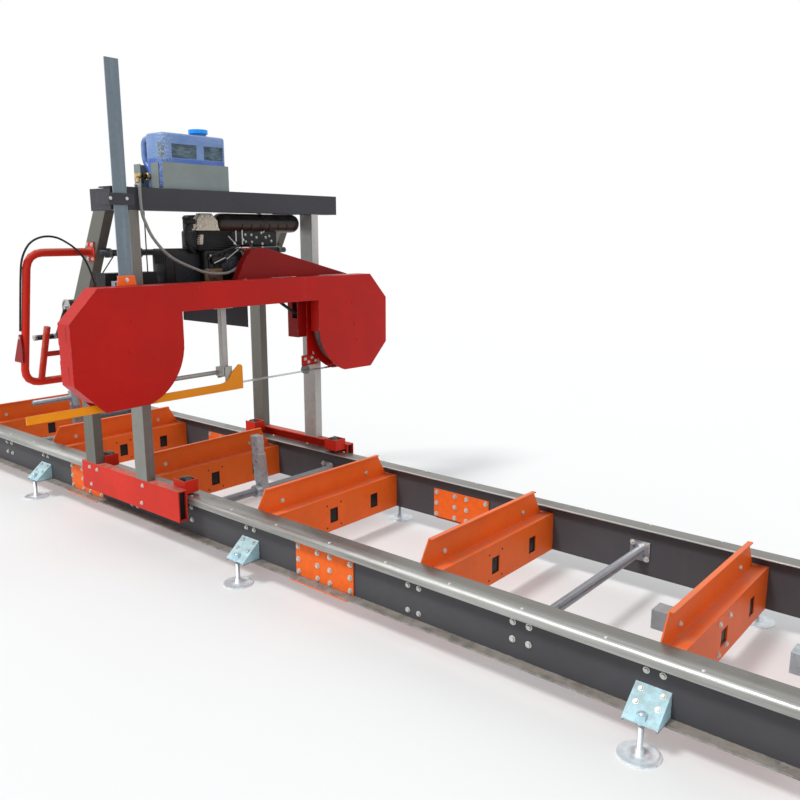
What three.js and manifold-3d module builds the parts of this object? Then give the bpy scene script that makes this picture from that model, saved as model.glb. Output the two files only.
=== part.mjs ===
// Portable horizontal band-saw mill: a head with two band wheels that lifts on a carriage,
// and a carriage that rolls along a bolted track on levelling feet.
// Millimetres. X runs along the track, +Y is the far rail, +Z is up, z = 0 is the ground.
import * as THREE from 'three';
import { mergeVertices } from 'three/addons/utils/BufferGeometryUtils.js';
import Module from 'manifold-3d';

const wasm = await Module();
wasm.setup();

// Fits and cuts
const seatGap = 0.3; // between faces that rest on each other
const turnGap = 0.5; // round a shaft or a rod that turns or slides
const runGap = 0.8; // between a sliding sleeve and its post
const join = 1; // how far joined solids run into each other
const overrun = 5; // how far a cut runs past a face
const weldTolerance = 0.001;

// Sides of round pieces
const hexSides = 6;
const cordSides = 8;
const smallSides = 10;
const mediumSides = 16;
const largeSides = 24;
const wheelSides = 40;
const arcSteps = 12;
const handleSteps = 44;
const gripSteps = 24;
const hoseSteps = 56;
const cableSteps = 32;

// Track
const track = { sectionLength: 1565, webFace: 400, footOffset: 390, bunkOffset: 390 };
const rail = { bottom: 84, height: 175, flange: 37, wall: 5 };
const cap = { thickness: 3, inner: 363, outer: 445, lipBottom: 233, bend: 5 };
const splice = { length: 278, bottom: 90, top: 212, thickness: 5, fast: 15 };
const bunk = {
  depth: 80, bottom: 84, ledge: 229.5, ledgeDepth: 45, top: 327.6, wall: 4,
  lip: 12, lowerFlange: 34, footHalf: 375, topHalf: 315,
};
const bunkHole = { width: 45, bottom: 118, top: 179, centre: 2, side: 243 };
const receiver = { side: 60, wall: 4, centreY: -4, centreZ: 148, back: 164 };
const tieRod = { radius: 17, height: 172, plate: 72, plateThickness: 5 };
const endMember = { inset: 50, depth: 34, bottom: 92, top: 210, sheet: 4 };
const foot = {
  radius: 56, rimHeight: 8, ringRadius: 44, dishHeight: 6, rodRadius: 8, rodTop: 118, post: 466,
  collarRadius: 12, collarHeight: 20,
};
const bracket = {
  width: 95, topZ: 160, bottomZ: 95, outer: 478, lowZ: 86, plate: 4, nutRadius: 14, nutHeight: 15,
};

// Log dog on the middle tie rod
const dog = {
  collarWidth: 26, collarRadius: 27, side: 42, tubeSide: 38, shoulder: 340, top: 420, lean: 24,
  hubHeight: 26, clear: 12,
};
// The left rod's clamp has a pusher that points to the near side and an arm to the far side
const clamp = { pusherRadius: 14, pusherZ: 385, pusherEnd: 259, armHalf: 6, armZ: [236, 268], armEnd: 340 };

// Carriage
const base = { outer: 492, width: 40, rear: -646, front: 75, bottom: 168, top: 293, wall: 5 };
const roller = { radius: 33, width: 30, centre: 413, rearX: -565, frontX: 17, pin: 6, edge: 3 };
const fork = { plate: 5, half: 30, top: 322, clear: 6, bottom: 270 };
const post = { width: 40, depth: 80, wall: 3, frontX: -137, rearX: -528, rearDepth: 77 };
const strut = { bendLow: 957, bendHigh: 1000, topFront: -307, topRear: -396 };
const beam = { bottom: 1360, top: 1445, near: 565, far: 615, depth: 80, wall: 5, armRear: -410 };
const mastGuide = { block: 12, reach: 23, margin: 13, bottom: 1375, top: 1417, plate: 5 };
const mast = {
  inset: 25, width: 55, front: -74, back: -126, wall: 4, bottom: 1095, top: 1880,
  bracketHalf: 31, bracketTop: 1120, footHalf: 40, footTopHalf: 34, footPlate: 5,
};
const shaft = { radius: 13, x: -372, z: 1196, inset: 4, drumRadius: 20, drumWidth: 30, drumY: 305 };
const shaftBlock = { width: 8, half: 19, thickness: 30 };
const winch = {
  x: -545, z: 976, hubRadius: 30, hubInner: 533, hubOuter: 556,
  armZ: 850, armX: -640, armThickness: 9, armHalf: 7, gripRadius: 11, gripEnd: 658,
};
const handle = {
  radius: 15.5, bend: 66, postX: -430, topZ: 1201, bottomZ: 684, bottomX: -545, outer: 757,
  flange: 76, flangeThickness: 6,
};
const handleBrace = { outer: 690, inner: 670, top: 908, barZ: 796 };
const throttle = { pivotZ: 870, width: 62, drop: 96, thickness: 6, offset: 8 };

// Water tank
const tray = {
  near: -325, far: -8, front: -150, back: -352, wall: 3, height: 101, floor: beam.top,
  frontStrip: [-232, -182], rearStrip: -307,
};
const tank = {
  top: 1660, back: -275, corner: 24, bevel: 10,
  recessDepth: 12, recessNear: [-279, -160], recessFar: [-126, -30], recessZ: [1565, 1619],
  neckY: -112, neckX: -205, neckRadius: 32, neckHeight: 10,
  gripRadius: 13, gripY: -290, gripBack: -324, gripTop: 1643, gripTurn: 1560, gripBottom: 1512, gripBend: 26,
};
const tankCap = { radius: 39, height: 16, ribs: 16, rib: 2 };
const tap = {
  x: -250, z: 1495, radius: 8, reach: 62, nutRadius: 11, spoutRadius: 6, spoutDrop: 23, stemRadius: 5,
  stemHeight: 13, stemBack: 12, leverHalf: 4, leverThickness: 5, leverUp: 12, leverDown: 29,
};

// Head, measured from the wheel centres
const wheelZ = 857;
const wheelSpread = 598;
const wheel = {
  radius: 206.5, front: -46, back: -75, rim: 9, web: 8, hubRadius: 34, hubBack: -92, hubFront: -42,
  holes: 5, holeRadius: 34, holeCircle: 125,
};
const blade = { front: -45, back: -80, gap: 0.7, thickness: 1.2 };
const axle = { radius: 15, capRadius: 22, capThickness: 5, housingRadius: 42 };
const cover = {
  front: -12, back: -94, sheet: 3, inner: 366, outer: 830, top: 1082, seam: 284,
  sideTop: 964, sideBottom: 743, chamfer: 715, bottom: 632, arcRadius: 232, beamBottom: 976,
  wallEnd: 672, sideWallBottom: 830, sideWallBack: -66,
};
const frame = { plateFront: -94.5, plateBack: -98, top: 1076, edge: 8 };
const sleeve = { bottom: 885, top: 985, plate: 4 };
const bed = {
  front: -140, back: -345, near: -330, far: 400, top: 1064, plate: 6, strip: 20, tongueFar: 10,
  ribBack: -240,
};
const rearBar = { near: -560, front: -225, back: -290, top: 1122, bottom: 1058 };
const fixedGuide = {
  barFar: 400, barBottom: 690, blockNear: 330, blockFar: 425, blockTop: 716,
  blockBottom: 668, blockDepth: 12, rollerRadius: 20, rollerY: 345,
};

// Movable guide and its guard
const arm = {
  near: -164, far: -123, front: -40, back: -80, top: 945, bottom: 728, flange: 91, flangeHeight: 5,
  flangeBack: -112, barRadius: 9, barX: -88.5, barZ: 702, barNear: -378, footBottom: 668,
  footPlate: 6, collar: 30,
};
const guard = {
  front: -34, back: -39, near: -997, far: -67, bottom: 633, top: 662, tip: 733, riseNear: -183,
  riseFar: -121, tipNear: -100, lower: 628,
};

// Engine and belt drive
const engine = {
  near: -150, far: 95, front: -182, back: -330, bottom: 1064.3, deck: 1205, top: 1280,
  headNear: -146, headFar: -38, headTop: 1352, fins: 5, fin: 6, finPitch: 13, finReach: 8,
};
const muffler = { near: -40, far: 436, front: -186, back: -262, bottom: 1284, top: 1350 };
const airBox = { near: -282, far: -84, front: -232, back: -330, top: 1212 };
const starter = { x: -182, y: 10, z: 1150, radius: 48, depth: 24 };
const deflector = { near: -194, far: 150, x: -252, thickness: 4, nearZ: 914, farZ: 853 };
const enginePulley = { y: 100, z: 1130, radius: 62, bore: 12, back: -130, front: -110 };
const drivenPulley = { radius: 98, back: -130, front: -110 };
const belt = { back: -128, front: -112, thickness: 9 };
const beltGuard = {
  front: frame.plateBack - seatGap, back: -134, sheet: 3, left: -24, low: 1083, rise: 14, riseZ: 1155,
  shoulder: 56, shoulderZ: 1206, apex: 110, apexZ: 1213, slope: 150, slopeZ: 1208, end: 640, endZ: 1084,
  sideNear: 313, sideFar: 440, sideBottom: 803, sideBack: -164, sideTop: 1056, notchBottom: 890,
};

// Hoses and cables: routes chosen by hand
const hoseRadius = 6;
const hoseRoute = [
  [-250, -375.7, 1471.5], [-250, -375.8, 1464], [-244, -387, 1457], [-205, -414, 1456],
  [-165, -433, 1456], [-143, -442, 1455.5], [-129.5, -446, 1449], [-127.5, -447, 1434], [-126, -448, 1410],
  [-124, -448, 1370],
  [-124, -444, 1342],
  [-126, -434, 1318], [-130, -408, 1268], [-135, -372, 1226], [-140, -330, 1190],
  [-146, -278, 1162], [-149, -215, 1137], [-150, -150, 1115], [-150, -90, 1107],
  [-150, -30, 1110], [-150, 20, 1130], [-150, 60, 1158], [-153, 82, 1184], [-166, 86, 1194],
  [-181.6, 86, 1195],
];
const cableRadius = 4;
const cableRoute = [
  [-500, -776.8, 900], [-487, -777, 960], [-469, -777.4, 1040], [-452, -778, 1110], [-438, -776, 1166],
  [-422, -768, 1206], [-411, -751, 1236], [-406, -724, 1254], [-407, -687, 1262], [-409, -647, 1258],
  [-410, -611, 1242], [-406, -573, 1214], [-404, -539, 1172], [-400, -519, 1120],
  [-396, -506, 1068], [-390, -478, 1046], [-380, -430, 1044], [-366, -372, 1066],
  [-338, -334, 1094], [-309, -306, 1107], [-302, -283.4, 1108],
];

// Finishes
function paint(color, roughness, metalness) {
  return new THREE.MeshStandardMaterial({ color, roughness, metalness });
}
const red = paint(0xa82218, 0.4, 0.1);
const darkRed = paint(0x86170f, 0.45, 0.1);
const orange = paint(0xe8602a, 0.45, 0.1);
const railGrey = paint(0x555458, 0.6, 0.2);
const capSteel = paint(0x85857d, 0.35, 0.8);
const postGrey = paint(0x82827a, 0.5, 0.5);
const beamGrey = paint(0x414148, 0.55, 0.2);
const zinc = paint(0xaad7e1, 0.3, 0.8);
const yellow = paint(0xe6a528, 0.45, 0.1);
const black = paint(0x1c1c1e, 0.6, 0.2);
const rubberBlack = paint(0x151515, 0.85, 0);
const brightSteel = paint(0xc8c8c8, 0.25, 0.9);
const tankBlue = paint(0x557dc8, 0.25, 0);
const capBlue = paint(0x007dff, 0.35, 0);
const trayGrey = paint(0x7d8784, 0.55, 0.3);
const hoseGrey = paint(0x8c8c84, 0.7, 0);

// Closed mesh to solid, without the triangles that a pole or a seam folds up
function solidFrom(geometry) {
  geometry.deleteAttribute('normal');
  geometry.deleteAttribute('uv');
  const merged = mergeVertices(geometry, weldTolerance);
  const index = merged.index.array;
  const kept = [];
  for (let i = 0; i < index.length; i += 3) {
    const [a, b, c] = [index[i], index[i + 1], index[i + 2]];
    if (a !== b && b !== c && c !== a) kept.push(a, b, c);
  }
  return new wasm.Manifold(new wasm.Mesh({
    numProp: 3,
    vertProperties: Float32Array.from(merged.attributes.position.array),
    triVerts: Uint32Array.from(kept),
  }));
}

function geometryFrom(solid) {
  const result = solid.getMesh();
  const geometry = new THREE.BufferGeometry();
  geometry.setAttribute('position', new THREE.BufferAttribute(result.vertProperties, 3));
  geometry.setIndex(new THREE.BufferAttribute(result.triVerts, 1));
  geometry.computeVertexNormals();
  return geometry;
}

function joined(solids) {
  return solids.reduce((whole, next) => whole.add(next));
}

// Box between two limits on each axis, given in either order
function block(x, y, z) {
  const size = [x, y, z].map(([a, b]) => Math.abs(b - a));
  const middle = [x, y, z].map(([a, b]) => (a + b) / 2);
  const geometry = new THREE.BoxGeometry(...size);
  geometry.translate(...middle);
  return solidFrom(geometry);
}

const axisX = new THREE.Vector3(1, 0, 0);
const axisY = new THREE.Vector3(0, 1, 0);
const axisZ = new THREE.Vector3(0, 0, 1);

// Outline extruded along an axis: outlines across x are (y, z), across y (x, z), across z (x, y)
function prism(axis, outline, from, to) {
  const start = Math.min(from, to);
  const end = Math.max(from, to);
  const points = outline.map(([a, b]) => new THREE.Vector2(a, b));
  const shape = new THREE.Shape(points);
  const geometry = new THREE.ExtrudeGeometry(shape, { depth: end - start, bevelEnabled: false });
  const place = new THREE.Matrix4();
  if (axis === 'x') {
    place.makeBasis(axisY, axisZ, axisX).setPosition(start, 0, 0);
  } else if (axis === 'y') {
    place.makeBasis(axisX, axisZ, axisY.clone().negate()).setPosition(0, end, 0);
  } else {
    place.setPosition(0, 0, start);
  }
  geometry.applyMatrix4(place);
  return solidFrom(geometry);
}

// Round bar between two points
function bar(radius, sides, start, end) {
  const from = new THREE.Vector3(...start);
  const along = new THREE.Vector3(...end).sub(from);
  const geometry = new THREE.CylinderGeometry(radius, radius, along.length(), sides);
  const turn = new THREE.Quaternion().setFromUnitVectors(axisY, along.clone().normalize());
  geometry.applyQuaternion(turn);
  geometry.translate(...from.addScaledVector(along, 1 / 2).toArray());
  return solidFrom(geometry);
}

// Profile of (radius, height) turned round an axis through a centre
function turned(axis, profile, centre, sides) {
  const points = profile.map(([r, h]) => new THREE.Vector2(r, h));
  const geometry = new THREE.LatheGeometry(points, sides);
  if (axis === 'x') geometry.applyMatrix4(new THREE.Matrix4().makeRotationZ(-Math.PI / 2));
  if (axis === 'z') geometry.applyMatrix4(new THREE.Matrix4().makeRotationX(Math.PI / 2));
  geometry.translate(...centre);
  return solidFrom(geometry);
}

// Points of an arc about a centre, from one angle to another, in degrees
function arc(centre, radius, fromAngle, toAngle, steps) {
  const points = [];
  for (let i = 0; i <= steps; i += 1) {
    const angle = THREE.MathUtils.degToRad(fromAngle + (toAngle - fromAngle) * (i / steps));
    points.push([centre[0] + radius * Math.cos(angle), centre[1] + radius * Math.sin(angle)]);
  }
  return points;
}

function circle(radius, sides) {
  return new THREE.Shape(arc([0, 0], radius, 0, 360 - 360 / sides, sides - 1)
    .map(([a, b]) => new THREE.Vector2(a, b)));
}

// Round tube along a curve
function tubeAlong(curve, radius, sides, steps) {
  return solidFrom(new THREE.ExtrudeGeometry(circle(radius, sides), { steps, extrudePath: curve }));
}

// Path through corner points with the corners rounded off
function roundedPath(corners, bend) {
  const points = corners.map((corner) => new THREE.Vector3(...corner));
  const path = new THREE.CurvePath();
  let start = points[0];
  for (let i = 1; i < points.length - 1; i += 1) {
    const into = points[i - 1].clone().sub(points[i]).normalize();
    const out = points[i + 1].clone().sub(points[i]).normalize();
    const enter = points[i].clone().addScaledVector(into, bend);
    const leave = points[i].clone().addScaledVector(out, bend);
    path.add(new THREE.LineCurve3(start, enter));
    path.add(new THREE.QuadraticBezierCurve3(enter, points[i], leave));
    start = leave;
  }
  path.add(new THREE.LineCurve3(start, points[points.length - 1]));
  return path;
}

function piece(name, solid, material, place = [0, 0, 0]) {
  const mesh = new THREE.Mesh(geometryFrom(solid), material);
  mesh.name = name;
  mesh.position.set(...place);
  return mesh;
}

// Outline mirrored to the side of a rail or a wheel
function sided(side, outline) {
  return outline.map(([a, b]) => [side * a, b]);
}

const sides = [['near', -1], ['far', 1]];
const sections = [['left', -1], ['middle', 0], ['right', 1]];

// Foot bracket on the outside of a web: a sloping plate, two cheeks and the nut for the rod
function footBracket(side) {
  const half = bracket.width / 2;
  const centre = track.footOffset;
  const slope = [
    [track.webFace - join, bracket.topZ], [bracket.outer, bracket.bottomZ],
    [bracket.outer, bracket.bottomZ - bracket.plate],
    [track.webFace - join, bracket.topZ - bracket.plate],
  ];
  const cheek = [
    [track.webFace - join, bracket.topZ], [bracket.outer, bracket.bottomZ],
    [bracket.outer, bracket.lowZ], [track.webFace - join, bracket.lowZ],
  ];
  const plate = prism('x', sided(side, slope), centre - half, centre + half);
  const left = prism('x', sided(side, cheek), centre - half, centre - half + bracket.plate);
  const right = prism('x', sided(side, cheek), centre + half - bracket.plate, centre + half);
  const rodY = side * foot.post;
  const slopeZ = bracket.bottomZ + (bracket.outer - foot.post) / 2;
  const nut = bar(bracket.nutRadius, hexSides, [centre, rodY, slopeZ - bracket.nutHeight],
    [centre, rodY, slopeZ + bracket.nutHeight]);
  const bore = bar(foot.rodRadius + turnGap, mediumSides, [centre, rodY, rail.bottom - overrun],
    [centre, rodY, bracket.topZ]);
  return joined([plate, left, right, nut]).subtract(bore);
}

// Splice plates of one seam, fast to the middle rail and clear of its neighbour
function splicePlates(side, end) {
  const seam = end * track.sectionLength / 2;
  const outerFace = track.webFace;
  const innerFace = track.webFace - rail.wall;
  const x = [seam - splice.length / 2, seam + splice.length / 2];
  const z = [splice.bottom, splice.top];
  const solids = [
    block(x, [side * (outerFace + seatGap), side * (outerFace + splice.thickness)], z),
    block(x, [side * (innerFace - seatGap), side * (innerFace - splice.thickness)], z),
  ];
  const fastX = [seam - end * splice.length / 2, seam - end * splice.fast];
  solids.push(block(fastX, [side * (outerFace + join), side * (innerFace - join)], z));
  return joined(solids);
}

// Folded channel across an end of the track, welded to the near rail
function endCrossmember(end) {
  const inner = track.webFace - rail.wall;
  const { inset, depth, bottom, top, sheet } = endMember;
  const face = end * (track.sectionLength / 2 - inset);
  const back = face - end * depth;
  const web = face - end * sheet;
  return prism('y', [
    [face, bottom], [back, bottom], [back, bottom + sheet], [web, bottom + sheet],
    [web, top - sheet], [back, top - sheet], [back, top], [face, top],
  ], -inner - join, inner - seatGap);
}

function railSection(side, place) {
  const half = (track.sectionLength - seatGap) / 2;
  const top = rail.bottom + rail.height;
  const inner = track.webFace - rail.wall;
  const outer = track.webFace + rail.flange;
  const channel = prism('x', sided(side, [
    [inner, rail.bottom], [outer, rail.bottom], [outer, rail.bottom + rail.wall],
    [track.webFace, rail.bottom + rail.wall], [track.webFace, top - rail.wall],
    [outer, top - rail.wall], [outer, top], [inner, top],
  ]), -half, half);
  const solids = [channel, footBracket(side)];
  if (place === 0) solids.push(splicePlates(side, -1), splicePlates(side, 1));
  if (place !== 0 && side < 0) solids.push(endCrossmember(place));
  return joined(solids);
}

const capTop = rail.bottom + rail.height + seatGap + cap.thickness;

// Rail cap: a folded strip with a rounded outer edge and a turned-down lip
function railCap(side) {
  const half = (3 * track.sectionLength - seatGap) / 2;
  const underside = capTop - cap.thickness;
  const outerBend = arc([cap.outer - cap.bend, capTop - cap.bend], cap.bend, 90, 0, 3);
  const outline = [
    [cap.inner, underside], [cap.inner, capTop], ...outerBend,
    [cap.outer, cap.lipBottom], [cap.outer - cap.thickness, cap.lipBottom],
    [cap.outer - cap.thickness, capTop - cap.bend], [cap.outer - cap.bend, underside],
  ];
  return prism('x', sided(side, outline), -half, half);
}

// Bunk: folded cross-member with a ledge, an upstand with a turned lip, and end plates
function bunkSolid(withReceiver) {
  const front = bunk.depth / 2;
  const half = track.webFace - rail.wall - seatGap;
  const stepX = front - bunk.ledgeDepth;
  const panel = block([front - bunk.wall, front], [-half, half], [bunk.bottom, bunk.ledge]);
  const ledge = block([stepX - bunk.wall, front], [-half, half], [bunk.ledge - bunk.wall, bunk.ledge]);
  const foldBack = block([front - bunk.lowerFlange, front], [-half, half],
    [bunk.bottom, bunk.bottom + bunk.wall]);
  const upstand = prism('x', [
    [-bunk.footHalf, bunk.ledge - bunk.wall], [bunk.footHalf, bunk.ledge - bunk.wall],
    [bunk.topHalf, bunk.top], [-bunk.topHalf, bunk.top],
  ], stepX - bunk.wall, stepX);
  const lip = block([stepX - bunk.wall, stepX + bunk.lip], [-bunk.topHalf, bunk.topHalf],
    [bunk.top - bunk.wall, bunk.top]);
  const solids = [panel, ledge, foldBack, upstand, lip];
  for (const [, side] of sides) {
    solids.push(block([-front, front], [side * half, side * (half - bunk.wall)],
      [bunk.bottom, bunk.ledge]));
  }
  let whole = joined(solids);
  if (withReceiver) {
    const x = [-receiver.back, front - join];
    const outerHalf = receiver.side / 2;
    const innerHalf = outerHalf - receiver.wall;
    const around = (half, middle) => [middle - half, middle + half];
    const tube = block(x, around(outerHalf, receiver.centreY), around(outerHalf, receiver.centreZ));
    const hollow = block([x[0] - overrun, front + overrun], around(innerHalf, receiver.centreY),
      around(innerHalf, receiver.centreZ));
    whole = whole.add(tube).subtract(hollow);
  }
  for (const middle of [bunkHole.centre - bunkHole.side, bunkHole.centre, bunkHole.centre + bunkHole.side]) {
    if (withReceiver && middle === bunkHole.centre) continue;
    whole = whole.subtract(block([front - bunk.wall - overrun, front + overrun],
      [middle - bunkHole.width / 2, middle + bunkHole.width / 2], [bunkHole.bottom, bunkHole.top]));
  }
  return whole;
}

function tieRodSolid(withClamp) {
  const half = track.webFace - rail.wall - seatGap;
  const plateHalf = tieRod.plate / 2;
  const solids = [bar(tieRod.radius, mediumSides, [0, -half, tieRod.height], [0, half, tieRod.height])];
  for (const [, side] of sides) {
    solids.push(block([-plateHalf, plateHalf], [side * half, side * (half - tieRod.plateThickness)],
      [tieRod.height - plateHalf, tieRod.height + plateHalf]));
  }
  if (withClamp) solids.push(...rodClamp());
  return joined(solids);
}

// Log dog: a collar that slides on the middle tie rod, and a post that swings about the rod
const dogBore = tieRod.radius + turnGap;
const dogY = -dog.side / 2 + dog.clear;
function rodBore(from, to) {
  return bar(dogBore, mediumSides, [0, from - overrun, tieRod.height], [0, to + overrun, tieRod.height]);
}
function dogSleeve() {
  const far = dogY - dog.side / 2 - seatGap;
  const near = far - dog.collarWidth;
  return bar(dog.collarRadius, mediumSides, [0, near, tieRod.height], [0, far, tieRod.height])
    .subtract(rodBore(near, far));
}
function dogPost(bored) {
  const half = dog.side / 2;
  const slim = dog.tubeSide / 2;
  const bottom = tieRod.height - dog.hubHeight;
  const shoulderLean = dog.lean * (dog.shoulder - bottom) / (dog.top - bottom);
  const lower = prism('x', [
    [dogY - half, bottom], [dogY + half, bottom],
    [dogY + half - shoulderLean, dog.shoulder], [dogY - half - shoulderLean, dog.shoulder],
  ], -half, half);
  const near = dogY - half;
  const guardOff = block([-dog.side, dog.side], [near, near - dog.side], [bottom, tieRod.height
    + dog.collarRadius + dog.clear]);
  const upper = prism('x', [
    [dogY - slim - shoulderLean, dog.shoulder - join], [dogY + slim - shoulderLean, dog.shoulder - join],
    [dogY + slim - dog.lean, dog.top], [dogY - slim - dog.lean, dog.top],
  ], -slim, slim);
  const whole = lower.add(upper).subtract(guardOff);
  return bored ? whole.subtract(rodBore(dogY - half, dogY + half)) : whole;
}

// Clamp on the left tie rod: a fixed post, a round pusher near its top and a flat arm
function rodClamp() {
  const { pusherRadius, pusherZ, pusherEnd, armHalf, armZ, armEnd } = clamp;
  return [
    dogPost(false),
    bar(pusherRadius, mediumSides, [0, -pusherEnd, pusherZ], [0, dogY, pusherZ]),
    block([-armHalf, armHalf], [dogY, armEnd], armZ),
  ];
}

function footSolid() {
  return turned('z', [
    [0, 0], [foot.radius, 0], [foot.radius, foot.rimHeight / 2],
    [foot.radius - foot.rimHeight, foot.rimHeight], [foot.ringRadius, foot.dishHeight],
    [foot.collarRadius, foot.dishHeight], [foot.collarRadius, foot.collarHeight],
    [foot.rodRadius, foot.collarHeight], [foot.rodRadius, foot.rodTop], [0, foot.rodTop],
  ], [0, 0, 0], mediumSides);
}

const trackGroup = new THREE.Group();
for (const [sideName, side] of sides) {
  for (const [sectionName, place] of sections) {
    const solid = railSection(side, place);
    trackGroup.add(piece(`${sideName}_rail_${sectionName}`, solid, railGrey,
      [place * track.sectionLength, 0, 0]));
  }
  trackGroup.add(piece(`${sideName}_rail_cap`, railCap(side), capSteel));
}
const bunkPlaces = sections.flatMap(([, place]) => [-1, 1]
  .map((half) => place * track.sectionLength + half * track.bunkOffset));
bunkPlaces.forEach((x, i) => {
  const last = i === bunkPlaces.length - 1;
  trackGroup.add(piece(`bunk_${i + 1}`, bunkSolid(last), orange, [x, 0, 0]));
});
sections.forEach(([, place], i) => {
  trackGroup.add(piece(`tie_rod_${i + 1}`, tieRodSolid(place < 0), zinc,
    [place * track.sectionLength, 0, 0]));
  for (const [sideName, side] of sides) {
    const x = place * track.sectionLength + track.footOffset;
    trackGroup.add(piece(`${sideName}_foot_${i + 1}`, footSolid(), zinc, [x, side * foot.post, 0]));
  }
});

trackGroup.add(piece('log_dog_sleeve', dogSleeve(), zinc));
trackGroup.add(piece('log_dog_post', dogPost(true), zinc));

// Carriage base: a channel that opens inward, with a fork and a pin for each roller
const rollerZ = capTop + seatGap + roller.radius;
function carriageBase(side) {
  const inner = base.outer - base.width;
  const channel = prism('x', sided(side, [
    [inner, base.bottom], [base.outer, base.bottom], [base.outer, base.top], [inner, base.top],
    [inner, base.top - base.wall], [base.outer - base.wall, base.top - base.wall],
    [base.outer - base.wall, base.bottom + base.wall], [inner, base.bottom + base.wall],
  ]), base.rear, base.front);
  const solids = [channel];
  const pinInner = roller.centre - roller.width / 2 - fork.clear - fork.plate;
  for (const x of [roller.rearX, roller.frontX]) {
    const frontX = x + roller.radius + fork.clear;
    const lugX = [x - fork.half, frontX + fork.plate];
    const lugOuter = inner - seatGap;
    const lugZ = [fork.bottom, fork.top];
    solids.push(block(lugX, [side * (inner + join), side * (inner - fork.plate)], [fork.bottom, base.top]));
    solids.push(block(lugX, [side * lugOuter, side * (inner - fork.plate)], lugZ));
    solids.push(block(lugX, [side * pinInner, side * (pinInner + fork.plate)], lugZ));
    solids.push(block([frontX, frontX + fork.plate], [side * lugOuter, side * pinInner], lugZ));
    solids.push(bar(roller.pin, mediumSides, [x, side * lugOuter, rollerZ],
      [x, side * (pinInner + join), rollerZ]));
  }
  return joined(solids);
}

function rollerSolid() {
  const half = roller.width / 2;
  const bore = roller.pin + turnGap;
  return turned('y', [
    [bore, -half], [roller.radius - roller.edge, -half], [roller.radius, -half + roller.edge],
    [roller.radius, half - roller.edge], [roller.radius - roller.edge, half], [bore, half], [bore, -half],
  ], [0, 0, 0], mediumSides);
}

function frontPost(side) {
  const z = [base.top + seatGap, beam.bottom - seatGap];
  const x = [post.frontX - post.depth, post.frontX];
  const y = [side * (base.outer - post.width), side * base.outer];
  const hollowY = [side * (base.outer - post.width + post.wall), side * (base.outer - post.wall)];
  return block(x, y, z).subtract(block([x[0] + post.wall, x[1] - post.wall], hollowY,
    [z[0] - overrun, z[1] + overrun]));
}

// Rear post: upright at the foot, then leaning forward to the top frame
function rearPost(side) {
  const rear = post.rearX - post.rearDepth;
  const topZ = beam.bottom - seatGap;
  const outline = [
    [rear, base.top + seatGap], [post.rearX, base.top + seatGap], [post.rearX, strut.bendLow],
    [strut.topFront, topZ], [strut.topRear, topZ], [rear, strut.bendHigh],
  ];
  const y = [side * (base.outer - post.width), side * base.outer];
  const inner = side * (base.outer - post.width);
  const blockInner = inner - side * shaftBlock.width;
  const solids = [
    prism('y', outline, y[0], y[1]),
    bar(shaftBlock.half, mediumSides, [shaft.x, inner + side * join, shaft.z],
      [shaft.x, blockInner, shaft.z]),
    block([shaft.x - shaftBlock.thickness, shaft.x], [inner + side * join, blockInner],
      [shaft.z - shaftBlock.half, shaft.z + shaftBlock.half]),
  ];
  const bore = bar(shaft.radius + turnGap, mediumSides, [shaft.x, side * (base.outer + overrun), shaft.z],
    [shaft.x, blockInner - side * overrun, shaft.z]);
  let whole = joined(solids).subtract(bore);
  if (side < 0) {
    const hub = bar(winch.hubRadius, largeSides, [winch.x, side * (base.outer - join), winch.z],
      [winch.x, side * winch.hubInner, winch.z]);
    whole = whole.add(hub);
  }
  return whole;
}

// The mast stands near the beam's near end
const mastNear = beam.near + mast.inset;
const mastFar = mastNear - mast.width;

// Top frame: a front channel, two arms back to the rear posts and the guide for the mast
function topFrame() {
  const front = post.frontX;
  const back = front - beam.depth;
  const solids = [prism('y', [
    [front, beam.bottom], [front, beam.top], [back, beam.top], [back, beam.top - beam.wall],
    [front - beam.wall, beam.top - beam.wall], [front - beam.wall, beam.bottom + beam.wall],
    [back, beam.bottom + beam.wall], [back, beam.bottom],
  ], -beam.near, beam.far)];
  for (const [, side] of sides) {
    const y = [side * (base.outer - post.width), side * base.outer];
    solids.push(block([beam.armRear, back + join], y, [beam.bottom, beam.top]));
    solids.push(prism('z', [
      [back + beam.wall, y[0] + side * join], [back + beam.wall, y[0] - side * beam.depth],
      [back - beam.depth, y[0] - side * join], [back - beam.depth, y[0] + side * join],
    ], beam.bottom, beam.bottom + beam.wall));
  }
  const clampX = [mast.front + runGap, mast.front + runGap + mastGuide.plate];
  const clampZ = [mastGuide.bottom, mastGuide.top];
  const clampFar = -mastFar + mastGuide.margin;
  const clampNear = -mastNear - mastGuide.reach;
  const lugX = [front - join - mastGuide.block, front - join];
  solids.push(block(clampX, [clampNear, clampFar + mastGuide.block], clampZ));
  solids.push(block([front - join, clampX[0] + join], [clampFar, clampFar + mastGuide.block], clampZ));
  solids.push(block([lugX[0], clampX[0] + join], [clampNear, clampNear + mastGuide.block], clampZ));
  solids.push(block(lugX, [clampNear, -beam.near + join], clampZ));
  return joined(solids);
}

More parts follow.
